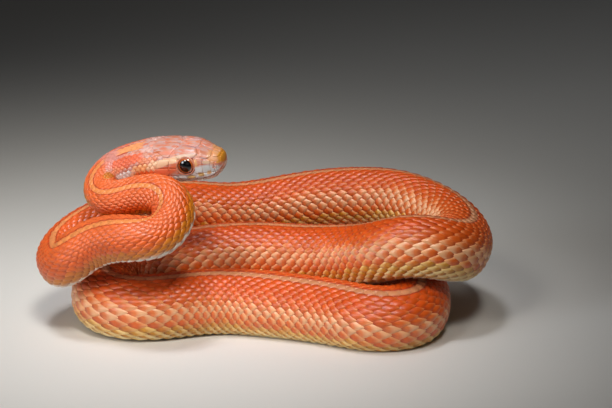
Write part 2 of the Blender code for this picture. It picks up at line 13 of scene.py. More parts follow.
import bpy
import numpy as np
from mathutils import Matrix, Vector

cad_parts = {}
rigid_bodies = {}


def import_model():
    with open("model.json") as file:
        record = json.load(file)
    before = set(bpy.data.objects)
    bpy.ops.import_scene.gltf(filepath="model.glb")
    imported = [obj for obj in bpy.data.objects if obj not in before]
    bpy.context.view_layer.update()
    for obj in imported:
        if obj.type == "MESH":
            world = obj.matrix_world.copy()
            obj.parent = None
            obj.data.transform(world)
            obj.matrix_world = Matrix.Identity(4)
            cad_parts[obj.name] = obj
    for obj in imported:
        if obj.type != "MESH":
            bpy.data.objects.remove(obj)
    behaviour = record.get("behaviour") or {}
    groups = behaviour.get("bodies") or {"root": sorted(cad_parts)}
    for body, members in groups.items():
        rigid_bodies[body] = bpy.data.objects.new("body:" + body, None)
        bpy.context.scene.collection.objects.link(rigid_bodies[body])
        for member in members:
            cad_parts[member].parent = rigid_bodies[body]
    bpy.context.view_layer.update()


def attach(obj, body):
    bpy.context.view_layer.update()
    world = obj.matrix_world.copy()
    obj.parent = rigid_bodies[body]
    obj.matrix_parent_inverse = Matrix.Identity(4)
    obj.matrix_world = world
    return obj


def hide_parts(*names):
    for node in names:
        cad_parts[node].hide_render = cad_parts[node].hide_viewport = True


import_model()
MM = 0.001

# %% [markdown]
# ## The camera
# The photograph was taken from a little above the coils with a long lens, which flattens depth.
# A camera far away with a narrow view gives the same flat perspective. It looks along +Y and
# 17 degrees down, and its aim puts the snake where the photograph has it.

# %% Camera
AIM = Vector((0.008785, -0.012393, 0.0268))
LOOKS_DOWN = math.radians(17.0)
DISTANCE = 0.65
WIDTH_SEEN = 0.131
eye_line = Vector((0.0, -math.cos(LOOKS_DOWN), math.sin(LOOKS_DOWN)))
lens = bpy.data.cameras.new("photo_camera")
lens.sensor_fit = "HORIZONTAL"
lens.sensor_width = 36.0
lens.lens = lens.sensor_width * DISTANCE / WIDTH_SEEN
lens.clip_start = 0.01
camera = bpy.data.objects.new("photo_camera", lens)
camera.location = AIM + eye_line * DISTANCE
camera.rotation_euler = (-eye_line).to_track_quat("-Z", "Y").to_euler()
bpy.context.scene.collection.objects.link(camera)
bpy.context.scene.camera = camera
bpy.context.scene.view_settings.view_transform = "Standard"
print("lens", round(lens.lens, 1), "mm")

# %% [markdown]
# ## The route of the backbone
# A snake's body is one long tube, so its pose is a line in space. Each coil is given by a few
# waypoints in millimetres, and a natural cubic spline runs smoothly through them.
# A sculpted mesh would also work, but a route keeps the true girth in every bend, and the same
# route can carry the skin, the scales and the belly scutes.

# %% Waypoints
CENTRE = (-8.785, 30.393)
COIL_ROOM = 0.95
FLAT_SINK = 0.35
NECK_ROUTE = [
    (-16.4, 10.8, 38.4), (-21.3, 12.5, 38.1), (-26.7, 14.2, 37.7), (-32.1, 16.0, 37.1),
    (-36.6, 17.5, 36.0), (-41.0, 18.5, 34.0), (-43.3, 16.5, 31.7), (-42.8, 12.5, 30.0),
    (-39.7, 9.7, 29.8), (-35.4, 8.2, 30.8), (-30.6, 6.5, 31.8), (-26.2, 4.8, 31.5),
    (-24.8, 2.9, 29.3), (-27.6, 1.3, 27.0), (-33.4, 0.8, 26.0), (-38.7, 3.0, 24.9),
    (-43.5, 5.7, 22.8), (-47.6, 6.8, 19.9),
]
UPPER_ROUTE = [
    (-49.9, 8.2, 17.2), (-51.7, 13.0, 14.9), (-50.9, 19.5, 14.6), (-48.0, 24.0, 16.6),
    (-44.3, 28.0, 18.6), (-39.0, 31.5, 19.5), (-32.1, 35.0, 19.4), (-23.5, 39.0, 18.9),
    (-14.9, 42.0, 18.0), (-5.8, 43.5, 18.8), (3.1, 43.5, 20.2), (12.4, 42.5, 21.0),
    (19.7, 40.5, 21.0), (26.2, 36.0, 20.1), (30.6, 30.5, 18.9), (32.9, 23.5, 17.8),
    (32.4, 16.0, 17.2), (29.2, 10.0, 17.0), (24.0, 8.0, 17.4), (18.9, 10.2, 17.5),
    (9.7, 17.5, 15.2), (0.0, 22.3, 13.2), (-9.6, 25.2, 12.6), (-19.4, 27.5, 12.2),
]
LOWER_ROUTE = [
    (-26.5, 28.8, 11.5), (-34.2, 29.8, 8.6), (-41.2, 27.5, 6.4), (-44.4, 20.0, 5.9),
    (-41.5, 12.0, 5.9), (-35.4, 9.5, 5.9), (-29.1, 11.0, 5.9), (-22.1, 13.5, 5.9),
    (-14.4, 14.5, 5.9), (-9.4, 13.5, 5.9), (0.0, 10.0, 5.9), (8.0, 6.0, 5.9),
    (13.4, 3.0, 5.9), (18.2, 2.4, 5.9), (22.2, 5.2, 5.9), (24.0, 10.6, 5.9),
    (24.3, 17.5, 5.9), (23.2, 24.5, 5.9), (20.0, 30.4, 5.8), (14.4, 33.8, 5.7),
]
TAIL_ROUTE = [
    (6.4, 35.5, 5.5), (-3.6, 37.0, 5.3), (-12.5, 38.8, 5.1), (-21.4, 40.0, 4.9),
    (-31.5, 41.5, 4.7), (-39.5, 45.0, 4.4), (-44.0, 52.0, 4.0), (-41.7, 59.5, 3.6),
    (-33.6, 62.0, 3.2), (-22.0, 59.5, 2.7), (-10.5, 56.5, 2.1), (0.9, 56.0, 1.5),
    (12.4, 57.5, 0.9), (21.5, 57.0, 0.4),
]
ROUTE = NECK_ROUTE + UPPER_ROUTE + LOWER_ROUTE + TAIL_ROUTE
print("waypoints", len(ROUTE))

# %% [markdown]
# ## Girth and the way the back faces
# The head is widest behind the eyes, the neck is slim, the body is fullest past its middle and
# the tail tapers to a point. Each row below is one measured place: millimetres from the snout,
# half width, half height, and how far the middle of the section lies above the route.
# The second list says which way the back faces, because the snake rolls its neck as it folds it.

# %% Girth
GIRTH = [
    (0.0, 2.90, 2.60, 0.25), (1.6, 3.05, 2.70, 0.05), (3.1, 3.35, 3.10, -0.20), (5.4, 4.20, 3.85, 0.10),
    (7.7, 4.75, 4.15, 0.20), (9.5, 5.00, 4.25, 0.15), (12.5, 5.30, 4.20, 0.05), (15.5, 5.50, 4.10, 0.0),
    (18.0, 5.25, 3.95, 0.0), (21.0, 4.70, 3.80, 0.0), (25.0, 4.10, 3.70, 0.0), (30.0, 3.80, 3.60, 0.0),
    (60.0, 4.50, 4.25, 0.0), (100.0, 5.25, 4.95, 0.0), (150.0, 6.35, 6.00, 0.0), (200.0, 6.90, 6.45, 0.0),
    (250.0, 7.00, 6.55, 0.0), (360.0, 6.95, 6.50, 0.0), (410.0, 6.35, 5.95, 0.0), (450.0, 5.45, 5.05, 0.0),
    (470.0, 4.70, 4.35, 0.0), (500.0, 3.15, 2.95, 0.0), (530.0, 1.45, 1.35, 0.0), (547.0, 0.60, 0.55, 0.0),
]
JAW_INSET = 0.07
JAW_ENDS = (14.0, 20.0)
SNOUT_ROUND = 3.2
SNOUT_POWER = 2.1
HEAD_POWER = 2.6
BODY_POWER = 2.25
HEAD_ENDS = 24.0
BACK_FACES = [
    (0, (0.0, -0.30, 1.0)), (19, (0.0, -0.30, 1.0)), (29, (-0.5, -0.45, 0.8)), (36, (-0.8, -0.5, 0.4)),
    (42, (-0.42, -0.55, 0.7)), (48, (-0.3, -0.66, 0.68)), (52, (-0.3, -0.78, 0.5)),
    (55, (-0.78, -0.6, 0.25)), (58, (-0.9, -0.2, 0.3)), (61, (-0.65, 0.0, 0.75)),
    (64, (-0.3, -0.15, 0.95)), (70, (-0.1, -0.5, 0.87)),
    (82, (0.0, -0.55, 0.84)), (90, (-0.25, -0.25, 0.9)), (97, (-0.4, -0.1, 0.9)), (106, (-0.2, 0.05, 1.0)),
    (116, (0.0, 0.05, 1.0)), (150, (0.0, -0.03, 1.0)), (172, (0.03, 0.05, 1.0)), (188, (0.25, 0.3, 1.0)),
    (205, (0.62, 0.42, 1.0)), (222, (0.05, 0.05, 1.0)),
    (275, (0.0, 0.05, 1.0)), (300, (0.0, 0.0, 1.0)), (330, (0.0, -0.1, 1.0)), (375, (0.15, -0.35, 1.0)),
    (400, (0.0, 0.0, 1.0)), (562, (0.0, 0.0, 1.0)),
]
print("widest", max(row[1] for row in GIRTH) * 2, "mm")

# %% [markdown]
# ## Smooth lines through a few points
# A natural spline bends as little as it can between its points, as a muscle would.
# These helpers read the spline, space points evenly along a line, and even out a row of values.

# %% Spline helpers


def natural_spline(knots, values, where):
    """Smooth curve through rows of values at rising knots, read at the places asked for."""
    knots = np.asarray(knots, float)
    values = np.asarray(values, float)
    n = len(knots)
    h = np.diff(knots)
    slope = np.diff(values, axis=0) / h[:, None]
    matrix = np.eye(n)
    right = np.zeros_like(values)
    for i in range(1, n - 1):
        matrix[i, i - 1:i + 2] = h[i - 1], 2 * (h[i - 1] + h[i]), h[i]
        right[i] = 6 * (slope[i] - slope[i - 1])
    bend = np.linalg.solve(matrix, right)
    where = np.atleast_1d(np.asarray(where, float))
    k = np.clip(np.searchsorted(knots, where, side="right") - 1, 0, n - 2)
    a = (knots[k + 1] - where)[:, None]
    b = (where - knots[k])[:, None]
    hk = h[k][:, None]
    curve = (bend[k] * a ** 3 + bend[k + 1] * b ** 3) / (6 * hk)
    return curve + (values[k] / hk - bend[k] * hk / 6) * a + (values[k + 1] / hk - bend[k + 1] * hk / 6) * b


def evenly(points, step):
    """The same line with a point at every step, and how far along it each one lies."""
    along = np.r_[0, np.cumsum(np.linalg.norm(np.diff(points, axis=0), axis=1))]
    reach = np.linspace(0, along[-1], int(round(along[-1] / step)) + 1)
    return np.stack([np.interp(reach, along, points[:, j]) for j in range(3)], -1), reach


def spread(values, sigma):
    """Rows of values evened out along the line with a bell-shaped weight."""
    reach = int(sigma * 3)
    weight = np.exp(-0.5 * (np.arange(-reach, reach + 1) / sigma) ** 2)
    weight /= weight.sum()
    padded = np.pad(values, ((reach, reach), (0, 0)), mode="edge")
    return np.stack([np.convolve(padded[:, j], weight, "valid") for j in range(3)], -1)


print("spline through 0, 1, 0 at half way:", natural_spline([0, 1, 2], [[0], [1], [0]], 0.5)[0, 0])

# %% [markdown]
# ## Coils that rest on each other
# Real coils never pass through one another: they touch, sag and open their tightest bends.
# The route is settled in the same way. In each of many small rounds, lengths that come too near
# are pushed apart, the lowest ones are lifted to the floor, and sharp bends are opened a little.
# A physics simulation could do this too, but this is repeatable and gives the solids' own route.

# %% Settling
SETTLE_ROUNDS = 200
SAME_LENGTH = 1.35   # parts nearer along the body than this many thicknesses don't push each other
TIGHTEST = 0.78      # half thickness over the radius of the bend, above which a bend is opened
BEND_SPAN = 4        # mm to each side over which a bend is measured
MOVE_SPREAD = 4.0    # mm along the body over which each push is evened out


def girth_at(s):
    """Half width, half height and lift of the middle, in mm, at places along the body."""
    table = np.array(GIRTH)
    girth = natural_spline(table[:, 0], table[:, 1:], np.minimum(s, table[-1, 0]))
    ahead = 1 - np.clip(np.atleast_1d(s), 0, SNOUT_ROUND) / SNOUT_ROUND
    girth[:, :2] *= ((1 - ahead ** SNOUT_POWER) ** (1 / SNOUT_POWER))[:, None]
    return girth


def settle(points, along, radius):
    """Let the coils push each other clear, rest on the floor and open bends that are too tight."""
    span = BEND_SPAN
    both = radius[:, None] + radius[None]
    apart = np.abs(along[:, None] - along[None]) > SAME_LENGTH * both
    need = both + COIL_ROOM
    for _ in range(SETTLE_ROUNDS):
        offset = points[:, None] - points[None]
        distance = np.linalg.norm(offset, axis=-1) + 1e-9
        lack = np.where(apart & (distance < need), need - distance, 0)
        move = (offset * (lack / distance)[..., None]).sum(1) * 0.5
        move /= np.maximum((lack > 0).sum(1), 1)[:, None]
        move[:, 2] += 0.7 * np.maximum(0.95 * radius - FLAT_SINK - points[:, 2], 0)
        chord = (points[2 * span:] + points[:-2 * span]) / 2 - points[span:-span]
        bend = 2 * np.linalg.norm(chord, axis=1) / (span * (along[1] - along[0])) ** 2
        over = np.clip(bend * radius[span:-span] - TIGHTEST, 0, 0.4)
        move[span:-span] += over[:, None] * chord * 0.8
        points = points + 1.2 * spread(move, MOVE_SPREAD)
    return points


def square_to(directions, axis):
    """Directions made square to an axis and one long."""
    directions = directions - (directions * axis).sum(1)[:, None] * axis
    return directions / np.linalg.norm(directions, axis=1)[:, None]


def backbone():
    """The settled route at quarter millimetres, with its directions and tightness."""
    waypoints = np.array(ROUTE) - [*CENTRE, 0.0]
    knots = np.r_[0, np.cumsum(np.linalg.norm(np.diff(waypoints, axis=0), axis=1) ** 0.75)]
    points, along = evenly(natural_spline(knots, waypoints, np.linspace(0, knots[-1], 6000)), 1.0)
    girth = girth_at(along)
    points = settle(points, along, (girth[:, 0] + girth[:, 1]) / 2)
    points, along = evenly(points, 1.0)
    fine = np.arange(0, along[-1], 0.25)
    points = natural_spline(along, spread(points, 1.5), fine)
    tailward = np.gradient(points, fine, axis=0)
    tailward /= np.linalg.norm(tailward, axis=1)[:, None]
    inward = np.gradient(tailward, fine, axis=0)
    places = [row[0] for row in BACK_FACES]
    facing = np.stack([np.interp(fine, places, [row[1][j] for row in BACK_FACES]) for j in range(3)], -1)
    facing = square_to(spread(square_to(facing, tailward), 12.0), tailward)
    return fine, np.hstack([points, tailward, facing, np.cross(facing, tailward), inward])


FINE, BONE = backbone()
LENGTH = float(FINE[-1])
print("snout to tail tip", round(LENGTH, 1), "mm")

# %% [markdown]
# ## The skin as a function
# One function gives any point on the animal: a distance from the snout, an angle round the body
# and a lift above the solids' surface, all in millimetres and degrees. The section is a rounded
# box on the head and nearly an ellipse behind it. On the inner side of a tight bend the section
# is squeezed so that the tube can't fold through itself, and where the belly meets the floor it
# goes flat. Skin, scales, scutes and plates all ask this one function where they belong.

# %% Skin function
FLAT_HEIGHT = 0.16     # mm from the floor to the flats under the lowest lengths, room for the scales
JAW_UNDER = 0.35       # the underside begins where the section's cosine passes below minus this
SQUEEZE_FROM = 0.82    # share of the bend's radius beyond which the inner side is squeezed
SQUEEZE = 0.9


def frame_at(s):
    """Route point, tailward, back and right-hand directions, and the bend, at places s."""
    rows = np.stack([np.interp(s, FINE, BONE[:, j]) for j in range(15)], -1)
    return rows[:, 0:3], rows[:, 3:6], rows[:, 6:9], rows[:, 9:12], rows[:, 12:15]


def power_at(s):
    """Roundness of the section, boxier on the head."""
    return np.interp(s, [HEAD_ENDS * 0.75, HEAD_ENDS * 1.5], [HEAD_POWER, BODY_POWER])


def skin(s, angle, lift=0.0):
    """Points on the skin in mm: s from the snout, angle in degrees from the middle of the back."""
    s, angle, lift = (np.ravel(x) for x in np.broadcast_arrays(s, np.radians(angle), lift))
    middle, _, back, right, inward = frame_at(s)
    wide, high, up = girth_at(s).T
    power = 2 / power_at(s)
    across = np.sign(np.sin(angle)) * np.abs(np.sin(angle)) ** power * (wide + lift)
    under = np.clip((-np.cos(angle) - JAW_UNDER) / 0.25, 0, 1)
    across *= 1 - JAW_INSET * under * np.interp(s, JAW_ENDS, [1, 0])
    upward = np.sign(np.cos(angle)) * np.abs(np.cos(angle)) ** power * (high + lift) + up
    out = right * across[:, None] + back * upward[:, None]
    bend = np.linalg.norm(inward, axis=1) + 1e-9
    toward = (out * inward).sum(1) / bend
    squeeze = np.maximum(toward - SQUEEZE_FROM / bend, 0) * SQUEEZE
    out -= inward / bend[:, None] * squeeze[:, None]
    points = middle + out
    points[:, 2] = np.maximum(points[:, 2], FLAT_HEIGHT - lift)
    return points


def half_turn(angle):
    """The same angles between minus and plus 180 degrees."""
    return (angle + 180.0) % 360.0 - 180.0


print("crown of the head at", skin(9.0, 0.0)[0].round(1), "mm")

# %% [markdown]
# ## Places on the head
# The plates of the head are easier to draw with millimetres off the midline for those on top,
# and millimetres above the route for those on the flank. These two helpers turn such a
# measure into the angle that the skin function wants.

# %% Angles from widths and heights


def angle_of_width(s, across):
    """Angle on the skin, on the upper side, of points a given mm off the midline."""
    s, across = np.broadcast_arrays(np.asarray(s, float), np.asarray(across, float))
    wide = girth_at(s.ravel())[:, 0].reshape(s.shape)
    share = np.minimum(np.abs(across) / np.maximum(wide, 1e-6), 1.0) ** (power_at(s) / 2)
    return np.copysign(np.degrees(np.arcsin(share)), across)


def angle_of_height(s, height):
    """Angle on the skin of points on the flank a given mm above the route."""
    s, height = np.broadcast_arrays(np.asarray(s, float), np.asarray(height, float))
    girth = girth_at(s.ravel())
    high = np.maximum(girth[:, 1].reshape(s.shape), 1e-6)
    share = np.clip((height - girth[:, 2].reshape(s.shape)) / high, -1, 1)
    return np.degrees(np.arccos(np.copysign(np.abs(share) ** (power_at(s) / 2), share)))


print("eye level at", round(float(angle_of_height(7.85, 1.15)), 1), "degrees from the back")

# %% [markdown]
# ## From numbers to a mesh
# Thousands of scales are made by array maths and handed to Blender in one piece, because adding
# them one by one is slow. Every vertex also keeps a few plain numbers, its attributes: how far
# along and round the body it lies, how near the edge of its scale, and a chance shade of its own.
# The materials read these, so the markings stay on the animal however it is bent.

# %% Mesh builder
snake = bpy.data.collections.new("snake")
bpy.context.scene.collection.children.link(snake)


def make_piece(name, points, quads, tris, values, uv=None):
    """A mesh object from points in mm, faces, the numbers kept on the points and their map."""
    quads = np.asarray(quads, np.int32).reshape(-1, 4)
    tris = np.asarray(tris, np.int32).reshape(-1, 3)
    corners = np.concatenate([quads.ravel(), tris.ravel()])
    starts = np.concatenate([np.arange(len(quads)) * 4, len(quads) * 4 + np.arange(len(tris)) * 3])
    mesh = bpy.data.meshes.new(name)
    mesh.vertices.add(len(points))
    mesh.vertices.foreach_set("co", (np.asarray(points) * MM).astype(np.float32).ravel())
    mesh.loops.add(len(corners))
    mesh.loops.foreach_set("vertex_index", corners)
    mesh.polygons.add(len(starts))
    mesh.polygons.foreach_set("loop_start", starts.astype(np.int32))
    mesh.update(calc_edges=True)
    if "around" in values:
        # The bands go by how far round from the back a point is, which has no jump at the belly.
        values = {**values, "away": np.abs(values["around"])}
    for key, value in values.items():
        layer = mesh.attributes.new(key, "FLOAT", "POINT")
        layer.data.foreach_set("value", np.asarray(value, np.float32).ravel())
    if uv is not None:
        layer = mesh.uv_layers.new(name="OFBake")
        layer.data.foreach_set("uv", np.asarray(uv, np.float32)[corners].ravel())
    mesh.polygons.foreach_set("use_smooth", np.ones(len(starts), bool))
    mesh.update()
    item = bpy.data.objects.new(name, mesh)
    snake.objects.link(item)
    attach(item, "root")
    print(name, len(quads) * 2 + len(tris), "triangles")
    return item


def grid_faces(rows, columns, closed=False):
    """Quads of a grid of points, closed round its columns if asked."""
    across = columns if closed else columns - 1
    r, c = np.meshgrid(np.arange(rows - 1), np.arange(across), indexing="ij")
    here = r * columns + c
    beside = r * columns + (c + 1) % columns
    return np.stack([here, here + columns, beside + columns, beside], -1).reshape(-1, 4)


def new_batch():
    """Empty lists in which several small meshes are gathered into one piece."""
    return {key: [] for key in ("points", "quads", "tris", "along", "around", "rim", "tint", "uv")}


def add_part(batch, points, quads, tris, along, around, rim, tint, uv=()):
    """Adds a small mesh to a batch, with a number or a row of numbers for each attribute."""
    base = sum(len(p) for p in batch["points"])
    batch["points"].append(points)
    batch["quads"].append(quads + base)
    batch["tris"].append(tris + base)
    for key, value in (("along", along), ("around", around), ("rim", rim), ("tint", tint)):
        batch[key].append(np.broadcast_to(value, len(points)))
    batch["uv"].append(uv)


def join_batch(name, batch):
    """The gathered meshes as one piece, with a map if they have one."""
    full = {key: np.concatenate(value) for key, value in batch.items()}
    values = {key: full[key] for key in ("along", "around", "rim", "tint")}
    uv = full["uv"] if len(full["uv"]) else None
    return make_piece(name, full["points"], full["quads"], full["tris"], values, uv)


# %% [markdown]
# ## The eyes' place
# The clear scale over the eye is a low dome. Its place is the same as that of the solids.
# The direction it looks is worked out once, because the skin, the plates round the eye and the
# eye itself all need it.

# %% Eye sizes
EYE_AT = 7.85
EYE_HEIGHT = 1.15
EYE_OUT = 3.95
EYE_RADII = (1.9, 1.9, 1.25)
EYE_FORWARD = 7.0
EYE_UP = 16.0
EYE_RIM = 1.98
BEHIND_EYE = -1.5   # mm along the gaze, below which the eye leaves the head alone


def eye_axes(side):
    """Centre of an eye and its along, up and outward directions."""
    middle, tailward, up, right, _ = (row[0] for row in frame_at(np.array([EYE_AT])))
    forward = -tailward
    out = right * side
    centre = middle + up * EYE_HEIGHT + out * EYE_OUT
    look = out + forward * math.tan(math.radians(EYE_FORWARD)) + up * math.tan(math.radians(EYE_UP))
    look /= np.linalg.norm(look)
    along = np.cross(up, look)
    along /= np.linalg.norm(along)
    return centre, along, np.cross(look, along), look


def keep_off(points, centre, axis, radius):
    """Points nearer than a radius to an axis, moved straight out to that radius."""
    offset = points - centre
    flat = offset - (offset @ axis)[:, None] * axis
    distance = np.linalg.norm(flat, axis=1) + 1e-9
    push = np.maximum(radius - distance, 0) * ((offset @ axis) > BEHIND_EYE)
    return points + flat / distance[:, None] * push[:, None]


print("right eye at", eye_axes(1)[0].round(1), "mm")

# %% [markdown]
# ## The line of the mouth
# A corn snake's mouth closes in a long line that dips below the eye and rises to its corner.
# The line is drawn once as points in space. The skin sinks into a groove along it, and the
# lip plates above and below leave it open by a hair.

# %% Mouth line
MOUTH = [(0.0, -0.95), (1.6, -1.45), (3.1, -2.00), (5.0, -2.40), (8.0, -2.65), (11.0, -2.60), (14.0, -2.00)]
MOUTH_FRONT = 0.42


def mouth_height(s):
    """Height of the mouth's line above the route, at places along the head."""
    return natural_spline([m[0] for m in MOUTH], [[m[1]] for m in MOUTH], s)[:, 0]


mouth_s = np.concatenate([[0.58, 0.85, 1.4], np.arange(2.0, MOUTH[-1][0] + 0.1, 0.3)])
mouth_angle = angle_of_height(mouth_s, mouth_height(mouth_s))
MOUTH_RIM = np.concatenate([
    skin(mouth_s, mouth_angle), skin(MOUTH_FRONT, 180.0), skin(mouth_s, -mouth_angle),
])
print("mouth", round(float(mouth_s[-1]), 1), "mm long")


def near_line(points, line):
    """Distance of each point to the nearest of a line's points, in mm."""
    return np.min(np.linalg.norm(points[:, None] - line[None], axis=-1), axis=1)


# %% [markdown]
# ## One skin
# The skin is a single closed tube from the snout to the tip of the tail, so no seam shows where
# the solids are parted. It lies inside them by the depth of the scales. Rings are close on the
# head and wider on the body, where scales hide it. It sinks along the mouth and round the eyes.

# %% Skin mesh
HEAD_SKIN = -0.04
BODY_SKIN = -0.26
AROUND = 96
GROOVE_DEPTH = 0.34
GROOVE_WIDTH = 0.26
SOCKET_DEPTH = 1.3
SOCKET_RADIUS = 2.05
SOCKET_SLOPE = 0.5
stations = np.concatenate([
    [0.02, 0.07, 0.14, 0.24, 0.36, 0.5, 0.66, 0.84, 1.04, 1.28, 1.55], np.arange(1.85, 24.0, 0.3),
    np.arange(24.2, LENGTH - 1.5, 1.0), [LENGTH - 1.0, LENGTH - 0.6, LENGTH - 0.3],
])
ring = np.arange(AROUND) * 360.0 / AROUND
skin_s, skin_angle = (x.ravel() for x in np.meshgrid(stations, ring, indexing="ij"))


def skin_depth(s):
    """How deep the bare skin lies under the solids' surface, more where scales cover it."""
    return np.interp(s, [15.0, 18.0, 505.0, LENGTH], [HEAD_SKIN, BODY_SKIN, BODY_SKIN, -0.1])


def sunk(points, s):
    """Skin points of the head drawn in along the mouth and round the eyes."""
    on_head = s < 20.0
    head = points[on_head]
    middle = frame_at(s[on_head])[0]
    inward = middle - head
    inward /= np.linalg.norm(inward, axis=1)[:, None] + 1e-9
    depth = GROOVE_DEPTH * np.exp(-(near_line(head, MOUTH_RIM) / GROOVE_WIDTH) ** 2)
    for side in (1, -1):
        centre, _, _, look = eye_axes(side)
        offset = head - centre
        flat = np.linalg.norm(offset - (offset @ look)[:, None] * look, axis=1)
        share = np.clip((SOCKET_RADIUS - flat) / SOCKET_SLOPE, 0, 1)
        depth += SOCKET_DEPTH * share * ((offset @ look) > BEHIND_EYE)
    points[on_head] = head + inward * depth[:, None]
    return points


points = sunk(skin(skin_s, skin_angle, skin_depth(skin_s)), skin_s)
tip_front = skin(0.0, 0.0)
tip_back = skin(LENGTH, 0.0, -girth_at(LENGTH)[0, 0])
rows = len(stations)
first = np.stack([np.full(AROUND, rows * AROUND), np.arange(AROUND), np.roll(np.arange(AROUND), -1)], -1)
last = (rows - 1) * AROUND + np.arange(AROUND)
final = np.stack([np.full(AROUND, rows * AROUND + 1), np.roll(last, -1), last], -1)
skin_values = {
    "along": np.r_[skin_s, 0.0, LENGTH],
    "around": np.r_[half_turn(skin_angle), 0.0, 0.0],
    "rim": np.ones(rows * AROUND + 2),
    "tint": np.full(rows * AROUND + 2, 0.5),
}
skin_piece = make_piece(
    "snake_skin", np.concatenate([points, tip_front, tip_back]),
    grid_faces(rows, AROUND, closed=True), np.concatenate([first, final]), skin_values,
)

# %% [markdown]
# ## How a scale is made
# A corn snake's scale is a thin shingle: its root lies under the scale in front, its sides run
# out to a broad middle and its free tip is a rounded point that stands a little proud. Its top is
# softly rounded from side to side, and down the back it carries a faint keel. One small grid gives
# this shape. It is laid out along the body and round it, lifted from root to tip, and closed
# below, so that each scale is a thin solid.

# %% Scale shape
ALONG_STEPS = np.array([0.0, 0.22, 0.42, 0.58, 0.72, 0.84, 0.93, 1.0])
ACROSS_STEPS = np.array([-1.0, -0.72, -0.36, 0.0, 0.36, 0.72, 1.0])
ROOT_REACH = 0.74
TIP_REACH = 0.66
BROADEST = 0.42


def scale_outline(t):
    """Half width of a scale, as a share of the room it has, from its root at 0 to its tip at 1."""
    front = 0.62 + 0.38 * np.sin(0.5 * np.pi * np.clip(t / BROADEST, 0, 1))
    behind = np.clip((t - BROADEST) / (1 - BROADEST), 0, 1)
    return front * np.clip(1 - behind ** 1.9, 0, 1) ** 0.8


def thin_solid(t_steps, b_steps, blunt):
    """Places of a thin solid's top points, its rim, and its faces. A blunt one has a whole last row."""
    t, b = (x.ravel() for x in np.meshgrid(t_steps, b_steps, indexing="ij"))
    rows, columns = len(t_steps), len(b_steps)
    left = np.arange(rows) * columns
    tip = left[-1] + np.arange(columns if blunt else 1)
    rim = np.concatenate([left[:-1], tip, (left + columns - 1)[-2::-1]])
    below = rows * columns + np.arange(len(rim))
    skirt = np.stack([rim[:-1], rim[1:], below[1:], below[:-1]], -1)
    k = np.arange((len(rim) - 1) // 2)
    under = np.stack([below[k], below[k + 1], below[-2 - k], below[-1 - k]], -1)
    return t, b, rim, np.concatenate([grid_faces(rows, columns)[:, ::-1], skirt, under])


SCALE = thin_solid(ALONG_STEPS, ACROSS_STEPS, blunt=False)
print("one scale has", len(SCALE[3]) * 2, "triangles")

# %% [markdown]
# ## Laying many scales at once
# Every scale of a stretch goes through the same formulas together. Each is given by its centre,
# its pitch along the body, its room round the body and how keeled it is. The map named OFBake
# lays the scale as a tiny patch at its root's place on the unrolled skin, so that a baked
# picture of the skin's markings colours each scale from its own spot.

# %% Scale layer
PATCH = 0.003
ROOT_DEPTH = 0.24      # mm that a root lies below the solids' surface
THICKNESS = 0.1        # mm
FULL_PITCH = 1.9       # mm, below which scales get thinner and flatter with their size
ROOM_FILLED = 0.98     # share of its room that a scale fills
NECK_CROWN = 0.13      # mm that the middle of a scale stands above its sides, on the neck
BODY_CROWN = 0.25
KEEL_WIDTH = 0.16      # as a share of the scale's half width
# The pale rim is wider on a scale's upper side as a painted highlight; this is its share on the side that
# looks down.
SHADED_SIDE_RIM = 0.66       # the pale rim is narrower on the side of a scale that looks down


def on_map(share, margin=0.01):
    """A place on the map from a share of the way across it."""
    return margin + (1 - 2 * margin) * share


def lay_solids(name, shape, along, around, height, pitch, marks, chance):
    """A piece of many thin solids. The marks are along, around and rim, and the map's two shares."""
    rim, faces = shape[2:]
    count = len(along)
    small = np.minimum(pitch / FULL_PITCH, 1.0)
    height = height * small
    top = skin(along, around, height).reshape(count, -1, 3)
    bottom = skin(along[:, rim], around[:, rim], height[:, rim] - THICKNESS * small)
    points = np.concatenate([top, bottom.reshape(count, -1, 3)], axis=1)
    each = points.shape[1]
    quads = (faces[None] + (np.arange(count) * each)[:, None, None]).reshape(-1, 4)
    full = [np.concatenate([x, x[:, rim]], axis=1).ravel() for x in marks]
    values = {"along": full[0], "around": full[1], "rim": full[2], "tint": np.repeat(chance, each)}
    return make_piece(name, points.reshape(-1, 3), quads, [], values, np.stack(full[3:], -1))


def lay_scales(name, s, angle, pitch, room, keel, lift, chance, span):
    """A piece of many scales from their centres, pitch in mm, room in degrees, keel and lift."""
    s, angle, pitch, room, keel, lift = (x[:, None] for x in (s, angle, pitch, room, keel, lift))
    t, b = SCALE[0][None], SCALE[1][None]
    breadth = b * scale_outline(t)
    around = angle + breadth * room * ROOM_FILLED
    along = s + (t * (ROOT_REACH + TIP_REACH) - ROOT_REACH) * pitch
    rise = (ROOT_DEPTH + lift) * np.sin(0.5 * np.pi * t) ** 0.95 - ROOT_DEPTH
    crown = np.interp(s, [26.0, 44.0], [NECK_CROWN, BODY_CROWN]) * (1 - b ** 2)
    crown = crown * np.sin(np.pi * np.clip((t - 0.16) / 0.84, 0.01, 0.99)) ** 0.75
    ridge = keel * np.exp(-(b / KEEL_WIDTH) ** 2) * np.sin(np.pi * np.clip(t, 0, 1)) ** 0.6
    rolled = -0.1 * np.abs(b) ** 3
    # Painted highlight: the pale rim reaches further on the upper side of each scale. Painted shade: the
    # exposed root gets negative values, which the markings darken.
    side = np.abs(b) * np.where(b * np.sign(angle + 0.01) < 0, 1.0, SHADED_SIDE_RIM)
    edge = np.maximum(side, np.clip((t - 0.4) / 0.6, 0, 1)) - 1.2 * np.clip((0.48 - t) / 0.2, 0, 1)
    turn = half_turn(angle)
    near_back = np.clip((25.0 - np.abs(turn)) / 10.0, 0, 1)
    marks = (
        0.4 * along + 0.6 * s, turn + (around - angle) * (0.25 + 0.75 * near_back), edge,
        on_map((s - span[0]) / (span[1] - span[0])) + PATCH * (t - 0.5),
        on_map((turn + 180.0) / 360.0) + PATCH * 0.5 * breadth,
    )
    height = rise + crown + ridge + rolled
    return lay_solids(name, SCALE, along, around, height, pitch, marks, chance)


